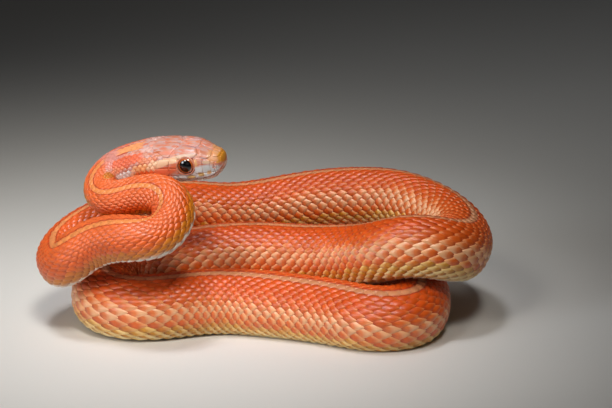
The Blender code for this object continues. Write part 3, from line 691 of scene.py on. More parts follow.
# %% [markdown]
# ## Where the scales sit
# A corn snake has 25 to 29 rows of scales round its middle. This one has 29 there, 25 behind the
# head and 19 before the vent, and each belly scute has one scale of every row beside it.
# Neighbouring rows are set off by half a scale, which makes the slanting net that the eye sees.
# Row spacing is worked out for every place along the body, so the rows run on unbroken while the
# body swells and tapers.

# %% Rows and pitches
PITCH_TABLE = [
    (0, 1.15), (16, 1.2), (24, 1.3), (40, 1.45), (60, 1.65), (100, 2.0), (140, 2.4), (190, 2.4),
    (205, 2.1), (235, 2.1), (252, 2.6), (290, 2.6), (320, 2.35), (350, 2.2), (400, 2.1), (460, 1.8),
    (500, 1.4), (530, 1.05), (548, 0.8),
]
ROWS_TABLE = [
    (0, 25), (60, 25), (110, 29), (330, 29), (400, 25), (462, 19), (480, 15), (500, 11.5), (520, 8.5),
    (535, 6.5), (548, 5),
]
BELLY_TABLE = [(0, 126), (38, 126), (48, 137), (66, 137), (115, 143), (470, 143), (548, 150)]
HEAD_END_TABLE = [
    (0, 15.8), (22, 15.6), (34, 14.9), (44, 13.7), (50, 12.7), (57, 12.7), (62, 14.3), (130, 14.3),
]


def pitch_at(s):
    """Distance from one scale to the next of its row, in mm."""
    return np.interp(s, *zip(*PITCH_TABLE))


def belly_from(s):
    """Angle from the middle of the back at which the belly scutes begin."""
    return np.interp(s, *zip(*BELLY_TABLE))


def row_step(s):
    """Degrees from one row of scales to the next."""
    return 2 * belly_from(s) / np.interp(s, *zip(*ROWS_TABLE))


places = [9.0]
while places[-1] < LENGTH - 0.9:
    places.append(places[-1] + float(pitch_at(places[-1])))
SCALE_PLACES = np.array(places)
print("scutes from throat to tail tip:", len(SCALE_PLACES))

# %% [markdown]
# ## The coat of scales
# The coat is made in several stretches, so that no one mesh grows too heavy. Small throat scales
# close the ring under the head, and behind it the broad belly scutes take over. A seeded chance
# gives every scale a slightly different shade and tilt, as on a real animal.

# %% Scales of the body
chance_maker = np.random.default_rng(27)
rows_out = np.arange(-19, 20)
centre_s, centre_row = (x.ravel() for x in np.meshgrid(SCALE_PLACES, rows_out, indexing="ij"))
centre_s = centre_s + np.where(centre_row % 2 == 1, 0.5 * pitch_at(centre_s), 0.0)
centre_angle = centre_row * row_step(centre_s)
away = np.abs(centre_angle)
THROAT_BEGINS = 10.6
THROAT_ENDS = 20.0
THROAT_EDGE = 126.0
behind_head = centre_s > np.interp(away, *zip(*HEAD_END_TABLE))
on_back = behind_head & (away < belly_from(centre_s) + 0.25 * row_step(centre_s))
on_throat = (centre_s > THROAT_BEGINS) & (centre_s < THROAT_ENDS) & (away >= THROAT_EDGE) & (away <= 182.0)
kept = (on_back | on_throat) & (centre_s < LENGTH - 0.7)
centre_s, centre_angle = centre_s[kept], centre_angle[kept]
print("scales in all", len(centre_s))
STRETCHES = [
    ("scales_neck", 8.0, 72.0), ("scales_far_left", 72.0, 145.0), ("scales_far", 145.0, 200.0),
    ("scales_right", 200.0, 255.0), ("scales_middle", 255.0, 310.0), ("scales_front", 310.0, 372.0),
    ("scales_back", 372.0, 450.0), ("scales_tail", 450.0, LENGTH + 1.0),
]
COAT = []
for name, begin, end in STRETCHES:
    mine = (centre_s >= begin) & (centre_s < end)
    s = centre_s[mine]
    angle = centre_angle[mine]
    chance = chance_maker.random(len(s))
    keel = 0.05 * np.clip((70.0 - np.abs(angle)) / 40.0, 0, 1) * np.clip((s - 40.0) / 60.0, 0, 1)
    lift = 0.075 + 0.02 * (chance_maker.random(len(s)) - 0.5)
    COAT.append(lay_scales(name, s, angle, pitch_at(s), row_step(s), keel, lift, chance, (begin, end)))

# %% [markdown]
# ## Belly scutes
# Under the body each scute is one broad plate from side to side, smooth and slightly curved back
# at its free edge. Behind the vent they come in pairs. They use the same thin solid as a scale,
# with more points across, because they wrap round the belly.

# %% Scutes
SCUTE_T = np.array([0.0, 0.35, 0.65, 0.85, 0.95, 1.0])
SCUTE_ROOT = 0.62      # share of the pitch from a scute's root to its place
SCUTE_REACH = 1.4      # its length as a share of the pitch
SCUTE_RISE = 0.34      # mm from its root up to its free edge
VENT = 462.0


def lay_scutes(name, s, middle, half, columns, span, chance):
    """Broad scutes: places in mm, middle angles and half breadths in degrees."""
    shape = thin_solid(SCUTE_T, np.linspace(-1, 1, columns), blunt=True)
    t, b = shape[:2]
    s, middle, half = (x[:, None] for x in (s, middle, half))
    pitch = pitch_at(s)
    around = middle + b * half * (1 - 0.16 * np.clip((t - 0.6) / 0.4, 0, 1) ** 2)
    along = s + pitch * (t * SCUTE_REACH - SCUTE_ROOT - 0.22 * b ** 4)
    height = SCUTE_RISE * t ** 0.9 - ROOT_DEPTH - 0.04 * np.abs(b) ** 6
    marks = (
        along, half_turn(around), np.clip((t - 0.7) / 0.3, 0, 1) ** 2 + 0 * along,
        on_map((s - span[0]) / (span[1] - span[0])) + PATCH * (t - 0.5),
        on_map(middle / 360.0) + PATCH * 0.5 * b,
    )
    return lay_solids(name, shape, along, around, height, pitch, marks, chance)


belly = SCALE_PLACES[(SCALE_PLACES > THROAT_ENDS - 1.0) & (SCALE_PLACES < VENT)]
for name, begin, end in (("scutes_fore", 0.0, 230.0), ("scutes_hind", 230.0, VENT)):
    s = belly[(belly >= begin) & (belly < end)]
    half = np.interp(s, [THROAT_ENDS, 27.0], [30.0, 58.0]) + np.minimum(THROAT_EDGE - belly_from(s), 0.0)
    chance = chance_maker.random(len(s))
    COAT.append(lay_scutes(name, s, np.full(len(s), 180.0), half, 25, (begin, end), chance))
pairs = SCALE_PLACES[(SCALE_PLACES >= VENT) & (SCALE_PLACES < LENGTH - 1.2)]
s = np.concatenate([pairs, pairs + 0.5 * pitch_at(pairs)])
middle = np.concatenate([np.full(len(pairs), 154.0), np.full(len(pairs), 206.0)])
half = np.full(len(s), 30.0)
chance = chance_maker.random(len(s))
COAT.append(lay_scutes("scutes_tail", s, middle, half, 13, (VENT, LENGTH + 1.0), chance))

# %% [markdown]
# ## Plates of the head
# Large smooth plates cover the head: a rostral on the snout, internasals, prefrontals, a frontal
# between the eyes, a brow plate over each eye and two broad parietals. Along the lips lies a row
# of smaller ones. Each is drawn by a few corners on the skin. Its outline is divided finely, its
# corners are eased, and rings run in from the edge, so that it rises to a low cushion with a
# rounded rim. Thin joints are left between them, as on the animal.

# %% Plate outlines
TOP_PLATES = {
    "internasal": [(0.95, 0.05), (0.95, 1.1), (1.6, 1.9), (2.5, 2.0), (2.8, 0.05)],
    "prefrontal": [(2.95, 0.05), (2.7, 2.15), (3.7, 3.0), (5.0, 3.3), (5.7, 1.5), (5.4, 0.05)],
    "supraocular": [(5.95, 1.55), (5.3, 2.95), (6.2, 3.9), (7.9, 4.4), (9.7, 4.4), (10.55, 3.2),
                    (9.4, 0.95), (7.5, 1.35)],
    "parietal": [(10.35, 0.05), (9.6, 0.95), (10.8, 3.2), (11.4, 4.4), (12.9, 4.25), (14.6, 3.05),
                 (15.8, 1.5), (15.7, 0.05)],
}
FRONTAL = [(5.55, 0.0), (5.8, 1.4), (7.4, 1.2), (9.1, 0.75), (10.15, 0.0), (9.1, -0.75), (7.4, -1.2),
           (5.8, -1.4)]
SIDE_PLATES = {
    "fore_nasal": [(1.0, -0.8), (0.95, 1.0), (1.85, 1.4), (1.95, 0.75), (1.95, -0.05), (1.9, -0.85)],
    "hind_nasal": [(2.0, -0.85), (2.0, -0.05), (2.0, 0.75), (1.95, 1.4), (2.65, 1.7), (2.9, -0.8)],
    "loreal": [(2.95, -0.8), (2.75, 1.85), (4.2, 2.25), (4.45, -0.75)],
    "preocular": [(4.5, -0.75), (4.35, 2.4), (5.6, 2.85), (6.1, 2.2), (6.0, 0.3), (5.9, -0.6)],
    "upper_postocular": [(9.4, 2.3), (9.7, 0.85), (11.45, 0.9), (11.0, 2.8), (9.9, 2.7)],
    "lower_postocular": [(9.2, -1.0), (9.7, 0.75), (11.5, 0.8), (11.4, -0.9)],
    "upper_temporal": [(11.6, 0.9), (11.2, 2.6), (13.6, 2.7), (14.4, 0.9)],
    "lower_temporal": [(11.55, -0.85), (11.65, 0.8), (14.4, 0.8), (14.3, -0.8)],
}
ROSTRAL = [(0.85, 0), (0.85, 35), (0.75, 75), (0.5, 115), (0.3, 150), (0.26, 180), (0.3, 210),
           (0.5, 245), (0.75, 285), (0.85, 325)]
UPPER_LIP = [0.75, 1.9, 3.1, 4.5, 6.1, 7.9, 9.7, 11.8, 14.2]
LOWER_LIP = [0.95, 2.1, 3.5, 5.2, 7.2, 9.4, 11.6, 13.6]
LIP_TOP = [(0.7, -0.9), (5.3, -0.85), (6.1, -1.35), (9.4, -1.35), (10.4, -0.98), (14.4, -0.88)]
CHIN_PLATES = {
    "front_chin": [(2.4, 0.08), (2.0, 1.2), (3.4, 1.9), (5.6, 1.7), (6.3, 0.08)],
    "hind_chin": [(6.5, 0.08), (5.9, 1.7), (8.4, 2.4), (10.6, 1.5), (10.6, 0.5)],
}
LIP_GAP = 0.1
PLATE_TOP = 0.12
PLATE_ROOT = -0.16
PLATE_JOINT = 0.03
NOSTRIL = (1.95, 0.35)
NOSTRIL_RADIUS = 0.42
print("plates drawn", 2 * (len(TOP_PLATES) + len(SIDE_PLATES) + len(CHIN_PLATES)) + 2)

# %% Plate maker
# Share of the way from the middle to the edge, and height there as a share of the plate's
PLATE_RINGS = [(0.3, 0.99), (0.55, 0.96), (0.74, 0.9), (0.86, 0.8), (0.94, 0.6), (0.985, 0.25), (1.0, -0.3)]
MAP_HEAD = 17.0
PLATES = new_batch()
plate_chance = np.random.default_rng(5)


def refined(corners, step, rounds=2):
    """A closed outline divided finely, with its corners eased."""
    line = []
    for (s0, v0), (s1, v1) in zip(corners, corners[1:] + corners[:1]):
        parts = max(2, math.ceil(math.hypot(s1 - s0, min(abs(v1 - v0), 6.0)) / step))
        line += [(s0 + (s1 - s0) * k / parts, v0 + (v1 - v0) * k / parts) for k in range(parts)]
    line = np.array(line)
    for _ in range(rounds):
        line = 0.5 * line + 0.25 * (np.roll(line, 1, axis=0) + np.roll(line, -1, axis=0))
    return line


def lay_plate(corners, to_angle, step=0.2, clear=()):
    """Adds one plate from corners in mm, a rule that gives their angle, and what it keeps clear of."""
    outline = refined(corners, step)
    centre = outline.mean(axis=0)
    size = np.mean(np.linalg.norm(outline - centre, axis=1))
    count = len(outline)
    levels = len(PLATE_RINGS) + 1
    shrink = 1 - PLATE_JOINT / max(size, 0.2)
    shares = np.array([share for share, _ in PLATE_RINGS] + [1.0])
    lifts = np.array([PLATE_TOP * rise for _, rise in PLATE_RINGS] + [PLATE_ROOT])
    at = (centre + (outline - centre) * (shares * shrink)[:, None, None]).reshape(-1, 2)
    at = np.concatenate([at, [centre, centre]])
    lift = np.r_[np.repeat(lifts, count), PLATE_TOP, PLATE_ROOT]
    rim = np.r_[np.repeat(shares ** 6, count), 0.0, 0.0]
    s, angle = to_angle(at[:, 0], at[:, 1])
    points = skin(s, angle, lift)
    for middle, axis, radius in clear:
        points = keep_off(points, middle, axis, radius)
    quads = grid_faces(levels, count, closed=True)[:, [0, 3, 2, 1]]
    last = (levels - 1) * count
    j = np.arange(count)
    n = (j + 1) % count
    top, bottom = np.full(count, levels * count), np.full(count, levels * count + 1)
    tris = np.concatenate([np.stack([top, n, j], -1), np.stack([bottom, last + j, last + n], -1)])
    outward = points[0] - frame_at(to_angle(centre[:1], centre[1:])[0])[0][0]
    if np.dot(np.cross(points[1] - points[0], points[count] - points[0]), outward) > 0:
        quads, tris = quads[:, ::-1], tris[:, ::-1]
    turn = half_turn(angle)
    uv = np.stack([on_map(s / MAP_HEAD, 0.02), on_map((turn + 180.0) / 360.0, 0.02)], -1)
    add_part(PLATES, points, quads, tris, s, turn, rim, plate_chance.random(), uv)


# %% [markdown]
# ## Setting the plates
# Plates on top are drawn for one side and mirrored. Those round the eye stop at its rim, and
# the two nasal plates leave room for the nostril between them.

# %% Head plates
EYE_CLEAR = [(eye_axes(side)[0], eye_axes(side)[3], EYE_RIM) for side in (1, -1)]
LIP_HEIGHT = 0.95      # mm from the mouth down to the lower edge of a lower lip plate


def chin_height(s):
    """How low a lip plate may reach, short of the middle of the chin."""
    girth = girth_at(s)
    return girth[:, 2] - 0.84 * girth[:, 1]


def rostral_place(x, y):
    """The tip of the snout seen from the front, as distance and direction from its point."""
    return np.maximum(np.hypot(x, y), 0.01), np.degrees(np.arctan2(y, x))


lay_plate(FRONTAL, lambda s, v: (s, angle_of_width(s, v)))
tip = [(s * math.cos(math.radians(a)), s * math.sin(math.radians(a))) for s, a in ROSTRAL]
lay_plate(tip, rostral_place, step=0.12)
for side, clear_eye in zip((1, -1), EYE_CLEAR):
    def on_top(s, v, side=side):
        return s, side * angle_of_width(s, v)

    def on_flank(s, v, side=side):
        return s, side * angle_of_height(s, v)

    def on_chin(s, v, side=side):
        return s, side * (180.0 - angle_of_width(s, v))

    pit = skin(NOSTRIL[0], side * angle_of_height(*NOSTRIL))[0]
    pit_axis = frame_at(np.array([NOSTRIL[0]]))[3][0] * side
    clear = [clear_eye, (pit, pit_axis, NOSTRIL_RADIUS)]
    for corners in TOP_PLATES.values():
        lay_plate(corners, on_top, clear=clear[:1])
    for corners in SIDE_PLATES.values():
        lay_plate(corners, on_flank, clear=clear)
    for corners in CHIN_PLATES.values():
        lay_plate(corners, on_chin)
    for a, b in zip(UPPER_LIP, UPPER_LIP[1:]):
        low = [float(mouth_height(x)[0]) + LIP_GAP for x in (a, b)]
        high = [float(np.interp(x, *zip(*LIP_TOP))) for x in (a, b)]
        lay_plate([(a, low[0]), (a, high[0]), (b, high[1]), (b, low[1])], on_flank, step=0.15, clear=clear)
    for a, b in zip(LOWER_LIP, LOWER_LIP[1:]):
        high = [float(mouth_height(x)[0]) - LIP_GAP for x in (a, b)]
        low = [max(float(mouth_height(x)[0]) - LIP_HEIGHT, float(chin_height(x)[0])) for x in (a, b)]
        lay_plate([(a, high[0]), (b, high[1]), (b, low[1]), (a, low[0])], on_flank, step=0.15)
plates_piece = join_batch("head_plates", PLATES)

# %% [markdown]
# ## Nostrils
# Each nostril is a small round pit between the two nasal plates, with a soft raised rim.
# It is turned like a cup on a wheel: a few rings of growing width, bent to lie on the snout.

# %% Nostril cups
PIT_DEPTH = -0.34
NOSTRIL_PROFILE = [(0.12, -0.31), (0.2, -0.2), (0.245, -0.03), (0.28, 0.1), (0.33, 0.15), (0.39, 0.14),
                   (0.45, 0.07), (0.5, -0.1)]
NOSTRIL_LIP = 0.33
NOSTRIL_SIDES = 28


def turned(profile, place, stretch, sides, side):
    """Rings of a profile, radius and rise, round a place on the flank, and the faces between them."""
    turns = np.arange(sides) * math.tau / sides
    rings = []
    for radius, rise in profile:
        s = place[0] + radius * stretch[0] * np.cos(turns)
        height = place[1] + radius * stretch[1] * np.sin(turns)
        rings.append(skin(s, side * angle_of_height(s, height), rise))
    faces = grid_faces(len(profile), sides, closed=True)
    return np.concatenate(rings), faces[:, ::-1] if side > 0 else faces


cups = new_batch()
radii = np.array([radius for radius, _ in NOSTRIL_PROFILE])
cup_rim = np.r_[np.repeat(np.minimum(radii / NOSTRIL_LIP, 1.0), NOSTRIL_SIDES), 0.0]
for side in (1, -1):
    rings, faces = turned(NOSTRIL_PROFILE, NOSTRIL, (1.05, 0.9), NOSTRIL_SIDES, side)
    bottom = skin(NOSTRIL[0], side * angle_of_height(*NOSTRIL), PIT_DEPTH)
    j = np.arange(NOSTRIL_SIDES)
    fan = np.stack([np.full(NOSTRIL_SIDES, len(rings)), np.roll(j, -1), j], -1)
    if side > 0:
        fan = fan[:, ::-1]
    add_part(cups, np.concatenate([rings, bottom]), faces, fan, NOSTRIL[0], 78.0, cup_rim, 0.5)
nostrils = join_batch("nostrils", cups)

# %% [markdown]
# ## Eyes
# A snake has no lids. A clear dome-shaped scale covers the eye, over a round black pupil and an
# orange iris. The dome is a fine ellipsoid in the solid eye's own place. The distance from the
# middle of the gaze is kept as an attribute, and the material paints pupil and iris by it.

# %% Eyeballs
EYE_SIDES = 64
EYE_ROWS = 40
EYES = []
for name, side in (("right", 1), ("left", -1)):
    centre, along, up, look = eye_axes(side)
    tilt, turn = (x.ravel() for x in np.meshgrid(
        np.linspace(0.02, 2.2, EYE_ROWS), np.arange(EYE_SIDES) * math.tau / EYE_SIDES, indexing="ij"))
    flat = np.sin(tilt)
    globe = centre + np.outer(flat * np.cos(turn) * EYE_RADII[0], along)
    globe += np.outer(flat * np.sin(turn) * EYE_RADII[1], up)
    globe += np.outer(np.cos(tilt) * EYE_RADII[2], look)
    crown = centre + look * EYE_RADII[2]
    back = centre - look * EYE_RADII[2] * 0.62
    j = np.arange(EYE_SIDES)
    n = np.roll(j, -1)
    front_tip = np.full(EYE_SIDES, len(globe))
    last = len(globe) - EYE_SIDES
    faces = grid_faces(EYE_ROWS, EYE_SIDES, closed=True)
    fans = np.concatenate([
        np.stack([front_tip, j, n], -1), np.stack([front_tip + 1, last + n, last + j], -1),
    ])
    if side < 0:
        faces, fans = faces[:, ::-1], fans[:, ::-1]
    gaze = np.where(tilt < math.pi / 2, flat, 1.0) * EYE_RADII[0]
    globe_piece = make_piece(
        "eye_globe_" + name, np.concatenate([globe, [crown], [back]]), faces, fans,
        {"gaze": np.r_[gaze, 0.0, EYE_RADII[0]], "spin": np.r_[turn, 0.0, 0.0]},
    )
    EYES.append(globe_piece)
    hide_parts("eye_" + name)

# %% [markdown]
# ## Rims of the eyes
# The skin round the eye stands up in a thin, low rim. It is turned in the same way as a nostril.

# %% Rims
RIM_PROFILE = [(1.66, -0.34), (1.69, 0.0), (1.75, 0.1), (1.85, 0.14), (1.95, 0.12), (2.04, 0.04),
               (2.1, -0.16)]
RIM_SIDES = 72
NO_FACES = np.zeros((0, 3), int)
rims = new_batch()
radii = np.array([radius for radius, _ in RIM_PROFILE])
rim_share = np.repeat((radii[-1] - radii) / (radii[-1] - radii[0]), RIM_SIDES)
for side in (1, -1):
    rings, faces = turned(RIM_PROFILE, (EYE_AT, EYE_HEIGHT), (1.0, 1.0), RIM_SIDES, side)
    add_part(rims, rings, faces, NO_FACES, EYE_AT, 85.0, rim_share, 0.5)
eye_rims = join_batch("eye_rims", rims)

# %% [markdown]
# ## Helpers for materials
# Materials are built of nodes. This small helper adds a node, sets its options, and joins or sets
# its inputs in order, so that each effect below reads as a short list of steps.

# %% Node helpers


def join(tree, socket, value):
    """Joins an output to an input, or sets the input to a plain value."""
    if isinstance(value, bpy.types.NodeSocket):
        tree.links.new(value, socket)
    else:
        socket.default_value = value


def add_node(tree, kind, inputs=(), out=0, **options):
    """Adds a node, sets its options, joins or sets its inputs in order, and returns one output."""
    item = tree.nodes.new(kind)
    for key, value in options.items():
        setattr(item, key, value)
    for socket, value in zip(item.inputs, inputs):
        if value is not None:
            join(tree, socket, value)
    return item.outputs[out]


def set_inputs(tree, node, values):
    """Joins or sets inputs of a node by their names."""
    for label, value in values.items():
        join(tree, node.inputs[label], value)


def new_material(name):
    """A material of nodes, its tree and its Principled shader."""
    material = bpy.data.materials.new(name)
    material.use_nodes = True
    return material, material.node_tree, material.node_tree.nodes["Principled BSDF"]


def calc(tree, kind, a, b=0.0, c=0.0):
    """One step of arithmetic."""
    return add_node(tree, "ShaderNodeMath", (a, b, c), operation=kind)


def blend_colours(tree, share, a, b, way="MIX"):
    """Mixes two colours by a share, in one of the mix node's ways."""
    item = tree.nodes.new("ShaderNodeMix")
    item.data_type = "RGBA"
    item.blend_type = way
    item.clamp_factor = True
    for number, value in ((0, share), (6, a), (7, b)):
        join(tree, item.inputs[number], value)
    return item.outputs[2]


def soft_step(tree, value, low, high, start=0.0, end=1.0):
    """A smooth step from one level to another as the value passes from low to high."""
    inputs = (value, low, high, start, end)
    return add_node(tree, "ShaderNodeMapRange", inputs, interpolation_type="SMOOTHSTEP")


def stretched_noise(tree, place, stretch, scale=1.0, detail=3.0, rough=0.6):
    """Noise over a place whose directions are multiplied first."""
    where = add_node(tree, "ShaderNodeVectorMath", (place, stretch), operation="MULTIPLY")
    return add_node(tree, "ShaderNodeTexNoise", (where, None, scale, detail, rough))


def paint(red, green, blue):
    """A screen colour from 0 to 255 as the linear light that shaders use."""
    share = np.array([red, green, blue]) / 255
    return (*np.where(share <= 0.04045, share / 12.92, ((share + 0.055) / 1.055) ** 2.4).tolist(), 1.0)


def ramp(tree, value, table, whole=180.0):
    """A colour that goes by a value from 0 to a whole: the table holds values and colours."""
    item = tree.nodes.new("ShaderNodeValToRGB")
    tree.links.new(calc(tree, "DIVIDE", value, whole), item.inputs[0])
    band = item.color_ramp.elements
    while len(band) < len(table):
        band.new(0.5)
    for element, row in zip(band, table):
        element.position = row[0] / whole
    for element, row in zip(band, table):
        element.color = row[1]
    return item.outputs[0]


def new_group(name, inputs, outputs):
    """A node group with named number inputs and named outputs, and its two ends."""
    tree = bpy.data.node_groups.new(name, "ShaderNodeTree")
    face = tree.interface
    for label, value in inputs:
        face.new_socket(label, in_out="INPUT", socket_type="NodeSocketFloat").default_value = value
    for label, kind in outputs:
        face.new_socket(label, in_out="OUTPUT", socket_type=kind)
    return tree, tree.nodes.new("NodeGroupInput").outputs, tree.nodes.new("NodeGroupOutput").inputs


# %% [markdown]
# ## The markings
# This corn snake is striped. A pale orange stripe with a dark red edge runs down its back. Beside it
# lie rows of strong red-orange, then a paler band, a redder side stripe, ochre rows and a whitish
# belly. One ramp over the angle round the body gives this, with a slow noise that lets the edges
# waver. On the neck the flanks are stronger, orange to ochre. The rim of each scale is paler,
# orange pink near the back and cream low on the side, and on the scale's upper side it reaches
# further as a painted highlight. Its root is darkened with painted shade, which gives the fine net.
# On the head soft patches of colour are laid one by one over a pink ground, marbled with lilac that
# is partly a painted sheen.

# %% Marking colours
# A band's rows are degrees from the middle of the back and the colour there
STRIPE = paint(224, 134, 72)
BODY_STRIPE = paint(208, 136, 92)
STRIPE_EDGE = paint(168, 40, 12)
RED = paint(210, 78, 6)
RED_SOFT = paint(214, 92, 22)
PALE_BAND = paint(220, 116, 58)
SIDE_RED = paint(210, 92, 22)
OCHRE = paint(196, 132, 30)
CREAM = paint(214, 176, 96)
WHITE = paint(222, 210, 198)
NECK_RED = paint(222, 102, 46)
NECK_FLANK = paint(216, 88, 14)
NECK_OCHRE = paint(196, 112, 12)
BODY_BANDS = [
    (0.0, BODY_STRIPE), (4.5, BODY_STRIPE), (6.5, STRIPE_EDGE), (9.5, RED), (36.0, RED), (62.0, RED_SOFT),
    (71.0, PALE_BAND), (88.0, PALE_BAND), (94.0, SIDE_RED), (103.0, SIDE_RED), (110.0, OCHRE),
    (130.0, OCHRE), (140.0, CREAM), (152.0, CREAM), (160.0, WHITE), (180.0, WHITE),
]
NECK_BANDS = [
    (0.0, STRIPE), (5.5, STRIPE), (7.5, STRIPE_EDGE), (10.5, NECK_RED), (46.0, NECK_RED),
    (68.0, NECK_FLANK), (84.0, NECK_FLANK), (98.0, NECK_OCHRE), (120.0, NECK_OCHRE), (126.0, WHITE),
    (180.0, WHITE),
]
# Colours of the pale scale rims, partly the scales' own paler edges and partly a painted highlight
BODY_RIMS_AND_HIGHLIGHT = [
    (0.0, paint(226, 166, 128)), (8.0, paint(230, 128, 64)), (40.0, paint(230, 138, 80)),
    (64.0, paint(232, 156, 102)), (80.0, paint(236, 184, 140)), (99.0, paint(230, 160, 104)),
    (113.0, paint(230, 190, 116)), (134.0, paint(234, 214, 160)), (180.0, WHITE),
]
NECK_RIMS_AND_HIGHLIGHT = [
    (0.0, paint(236, 162, 100)), (9.0, paint(230, 108, 56)), (45.0, paint(236, 146, 98)),
    (90.0, paint(226, 124, 48)), (112.0, paint(224, 150, 50)), (126.0, WHITE), (180.0, WHITE),
]
# Where on a scale its pale rim begins, as a share of the way from its middle to its edge
RIM_REACH = [
    (0.0, 0.5), (10.0, 0.6), (58.0, 0.5), (72.0, 0.14), (89.0, 0.14), (96.0, 0.38), (106.0, 0.32),
    (116.0, 0.18), (150.0, 0.18), (180.0, 0.4),
]
NECK_RIM_REACH = 0.62
# Painted shade laid on the exposed root of each scale
PAINTED_ROOT_SHADE = paint(176, 96, 60)
print("bands", len(BODY_BANDS))

# %% Head marks
HEAD_BASE = paint(212, 142, 116)
# Lilac, partly the head's own colour and partly a painted sheen on the crown
LILAC_AND_SHEEN = paint(200, 166, 162)
HEAD_ORANGE = paint(212, 108, 70)
PEACH = paint(236, 192, 154)
LIP_WHITE = paint(216, 214, 214)
HEAD_MARKS = [
    # mm from the snout, degrees from the middle, reach along and round, colour, strength, slant
    (26.0, 8.0, 5.4, 34.0, paint(210, 136, 124), 0.95, 0.0),
    (21.6, 42.0, 4.8, 22.0, paint(226, 100, 58), 0.95, 0.0),
    (25.0, 62.0, 3.4, 14.0, paint(228, 138, 96), 0.9, 0.0),
    (34.0, 66.0, 5.4, 40.0, paint(218, 100, 44), 1.0, 0.0),
    (18.0, 99.0, 6.2, 17.0, paint(218, 92, 36), 1.0, 0.0),
    (12.0, 86.0, 3.6, 8.5, paint(222, 112, 72), 0.95, 1.5),
    (16.4, 54.0, 2.4, 9.0, paint(222, 128, 82), 0.8, 2.0),
    (10.4, 60.0, 2.6, 11.0, PEACH, 1.0, 3.0),
    (14.2, 70.0, 4.4, 12.5, PEACH, 1.0, 2.6),
    (19.4, 80.0, 3.6, 11.0, paint(238, 168, 112), 1.0, 2.0),
    (24.2, 83.0, 4.4, 12.5, paint(240, 240, 236), 1.0, 0.0),
    (31.8, 58.0, 3.6, 20.0, paint(196, 120, 18), 1.0, 0.0),
    (20.8, 4.0, 3.0, 8.0, paint(234, 154, 100), 1.0, 0.0),
    (16.4, 16.0, 1.7, 9.0, paint(216, 172, 160), 0.8, 0.0),
    (21.8, 11.0, 1.6, 2.4, paint(170, 50, 20), 0.9, 0.0),
    (14.2, 30.0, 1.1, 3.4, paint(190, 96, 44), 0.9, 1.0),
    (13.6, 42.0, 1.3, 3.0, paint(196, 120, 70), 0.8, 0.0),
    (11.4, 36.0, 2.4, 7.0, paint(222, 128, 100), 0.7, 0.0),
    (7.8, 48.0, 2.4, 6.0, paint(222, 188, 162), 0.8, 1.2),
    (6.7, 14.0, 1.6, 4.0, paint(176, 132, 134), 0.7, 0.0),
    (7.2, -16.0, 1.6, 6.0, PEACH, 0.7, 0.0),
    (4.7, 28.0, 1.6, 9.0, paint(200, 118, 84), 0.8, 0.0),
    (2.2, 30.0, 1.5, 40.0, paint(214, 150, 84), 0.7, 0.0),
    (3.6, 64.0, 0.8, 6.0, paint(222, 190, 156), 0.8, 0.0),
    (5.9, 72.0, 0.7, 14.0, paint(226, 172, 120), 0.9, 0.0),
    (3.4, 94.0, 3.2, 19.0, LIP_WHITE, 1.0, 0.0),
    (7.4, 109.0, 4.6, 12.0, LIP_WHITE, 1.0, 0.0),
    (1.7, 78.0, 0.7, 7.0, paint(196, 120, 96), 0.7, 0.0),
    (3.2, 97.0, 0.55, 6.5, paint(214, 156, 80), 0.85, 0.0),
    (4.9, 101.0, 0.75, 7.5, paint(204, 152, 50), 0.85, 0.0),
    (7.0, 109.0, 0.85, 7.5, paint(196, 146, 40), 0.85, 0.0),
    (1.1, 64.0, 0.5, 9.0, paint(208, 150, 50), 0.85, 0.0),
    (0.3, 15.0, 1.2, 66.0, paint(204, 136, 28), 0.95, 0.0),
]
print("head marks", len(HEAD_MARKS))

# %% Marking group
INPUTS = [("Along", 0.0), ("Around", 0.0), ("Away", 0.0), ("Rim", 0.0), ("Tint", 0.5)]
markings, enter, leave = new_group(
    "snake_markings", INPUTS, [("Color", "NodeSocketColor"), ("Rough", "NodeSocketFloat")])
along, around, away, rim, tint = (enter[label] for label, _ in INPUTS)
print("the markings go by", [label for label, _ in INPUTS])

# %% [markdown]
# ## Bands of the neck and the trunk
# The neck's bands pass slowly into the body's. The place across the bands is moved a little by a
# slow noise and by each scale's chance shade, so that a band's edge runs from scale to scale. The
# edge of the back stripe is held almost still, because it is a clean line on the animal.

# %% Trunk and neck
place = add_node(markings, "ShaderNodeCombineXYZ", (along, around, 0.0))
waver = stretched_noise(markings, place, (0.11, 0.035, 0.0), detail=2.0, rough=0.55)
shift = calc(markings, "MULTIPLY_ADD", waver, 16.0, calc(markings, "MULTIPLY_ADD", tint, 9.0, -12.5))
hold = soft_step(markings, away, 9.0, 34.0, 0.1, 1.0)
moved = calc(markings, "MULTIPLY_ADD", shift, hold, away)
is_body = soft_step(markings, along, 74.0, 128.0)
trunk = blend_colours(
    markings, is_body, ramp(markings, moved, NECK_BANDS), ramp(markings, moved, BODY_BANDS))
print("the body's bands are full from 128 mm on")
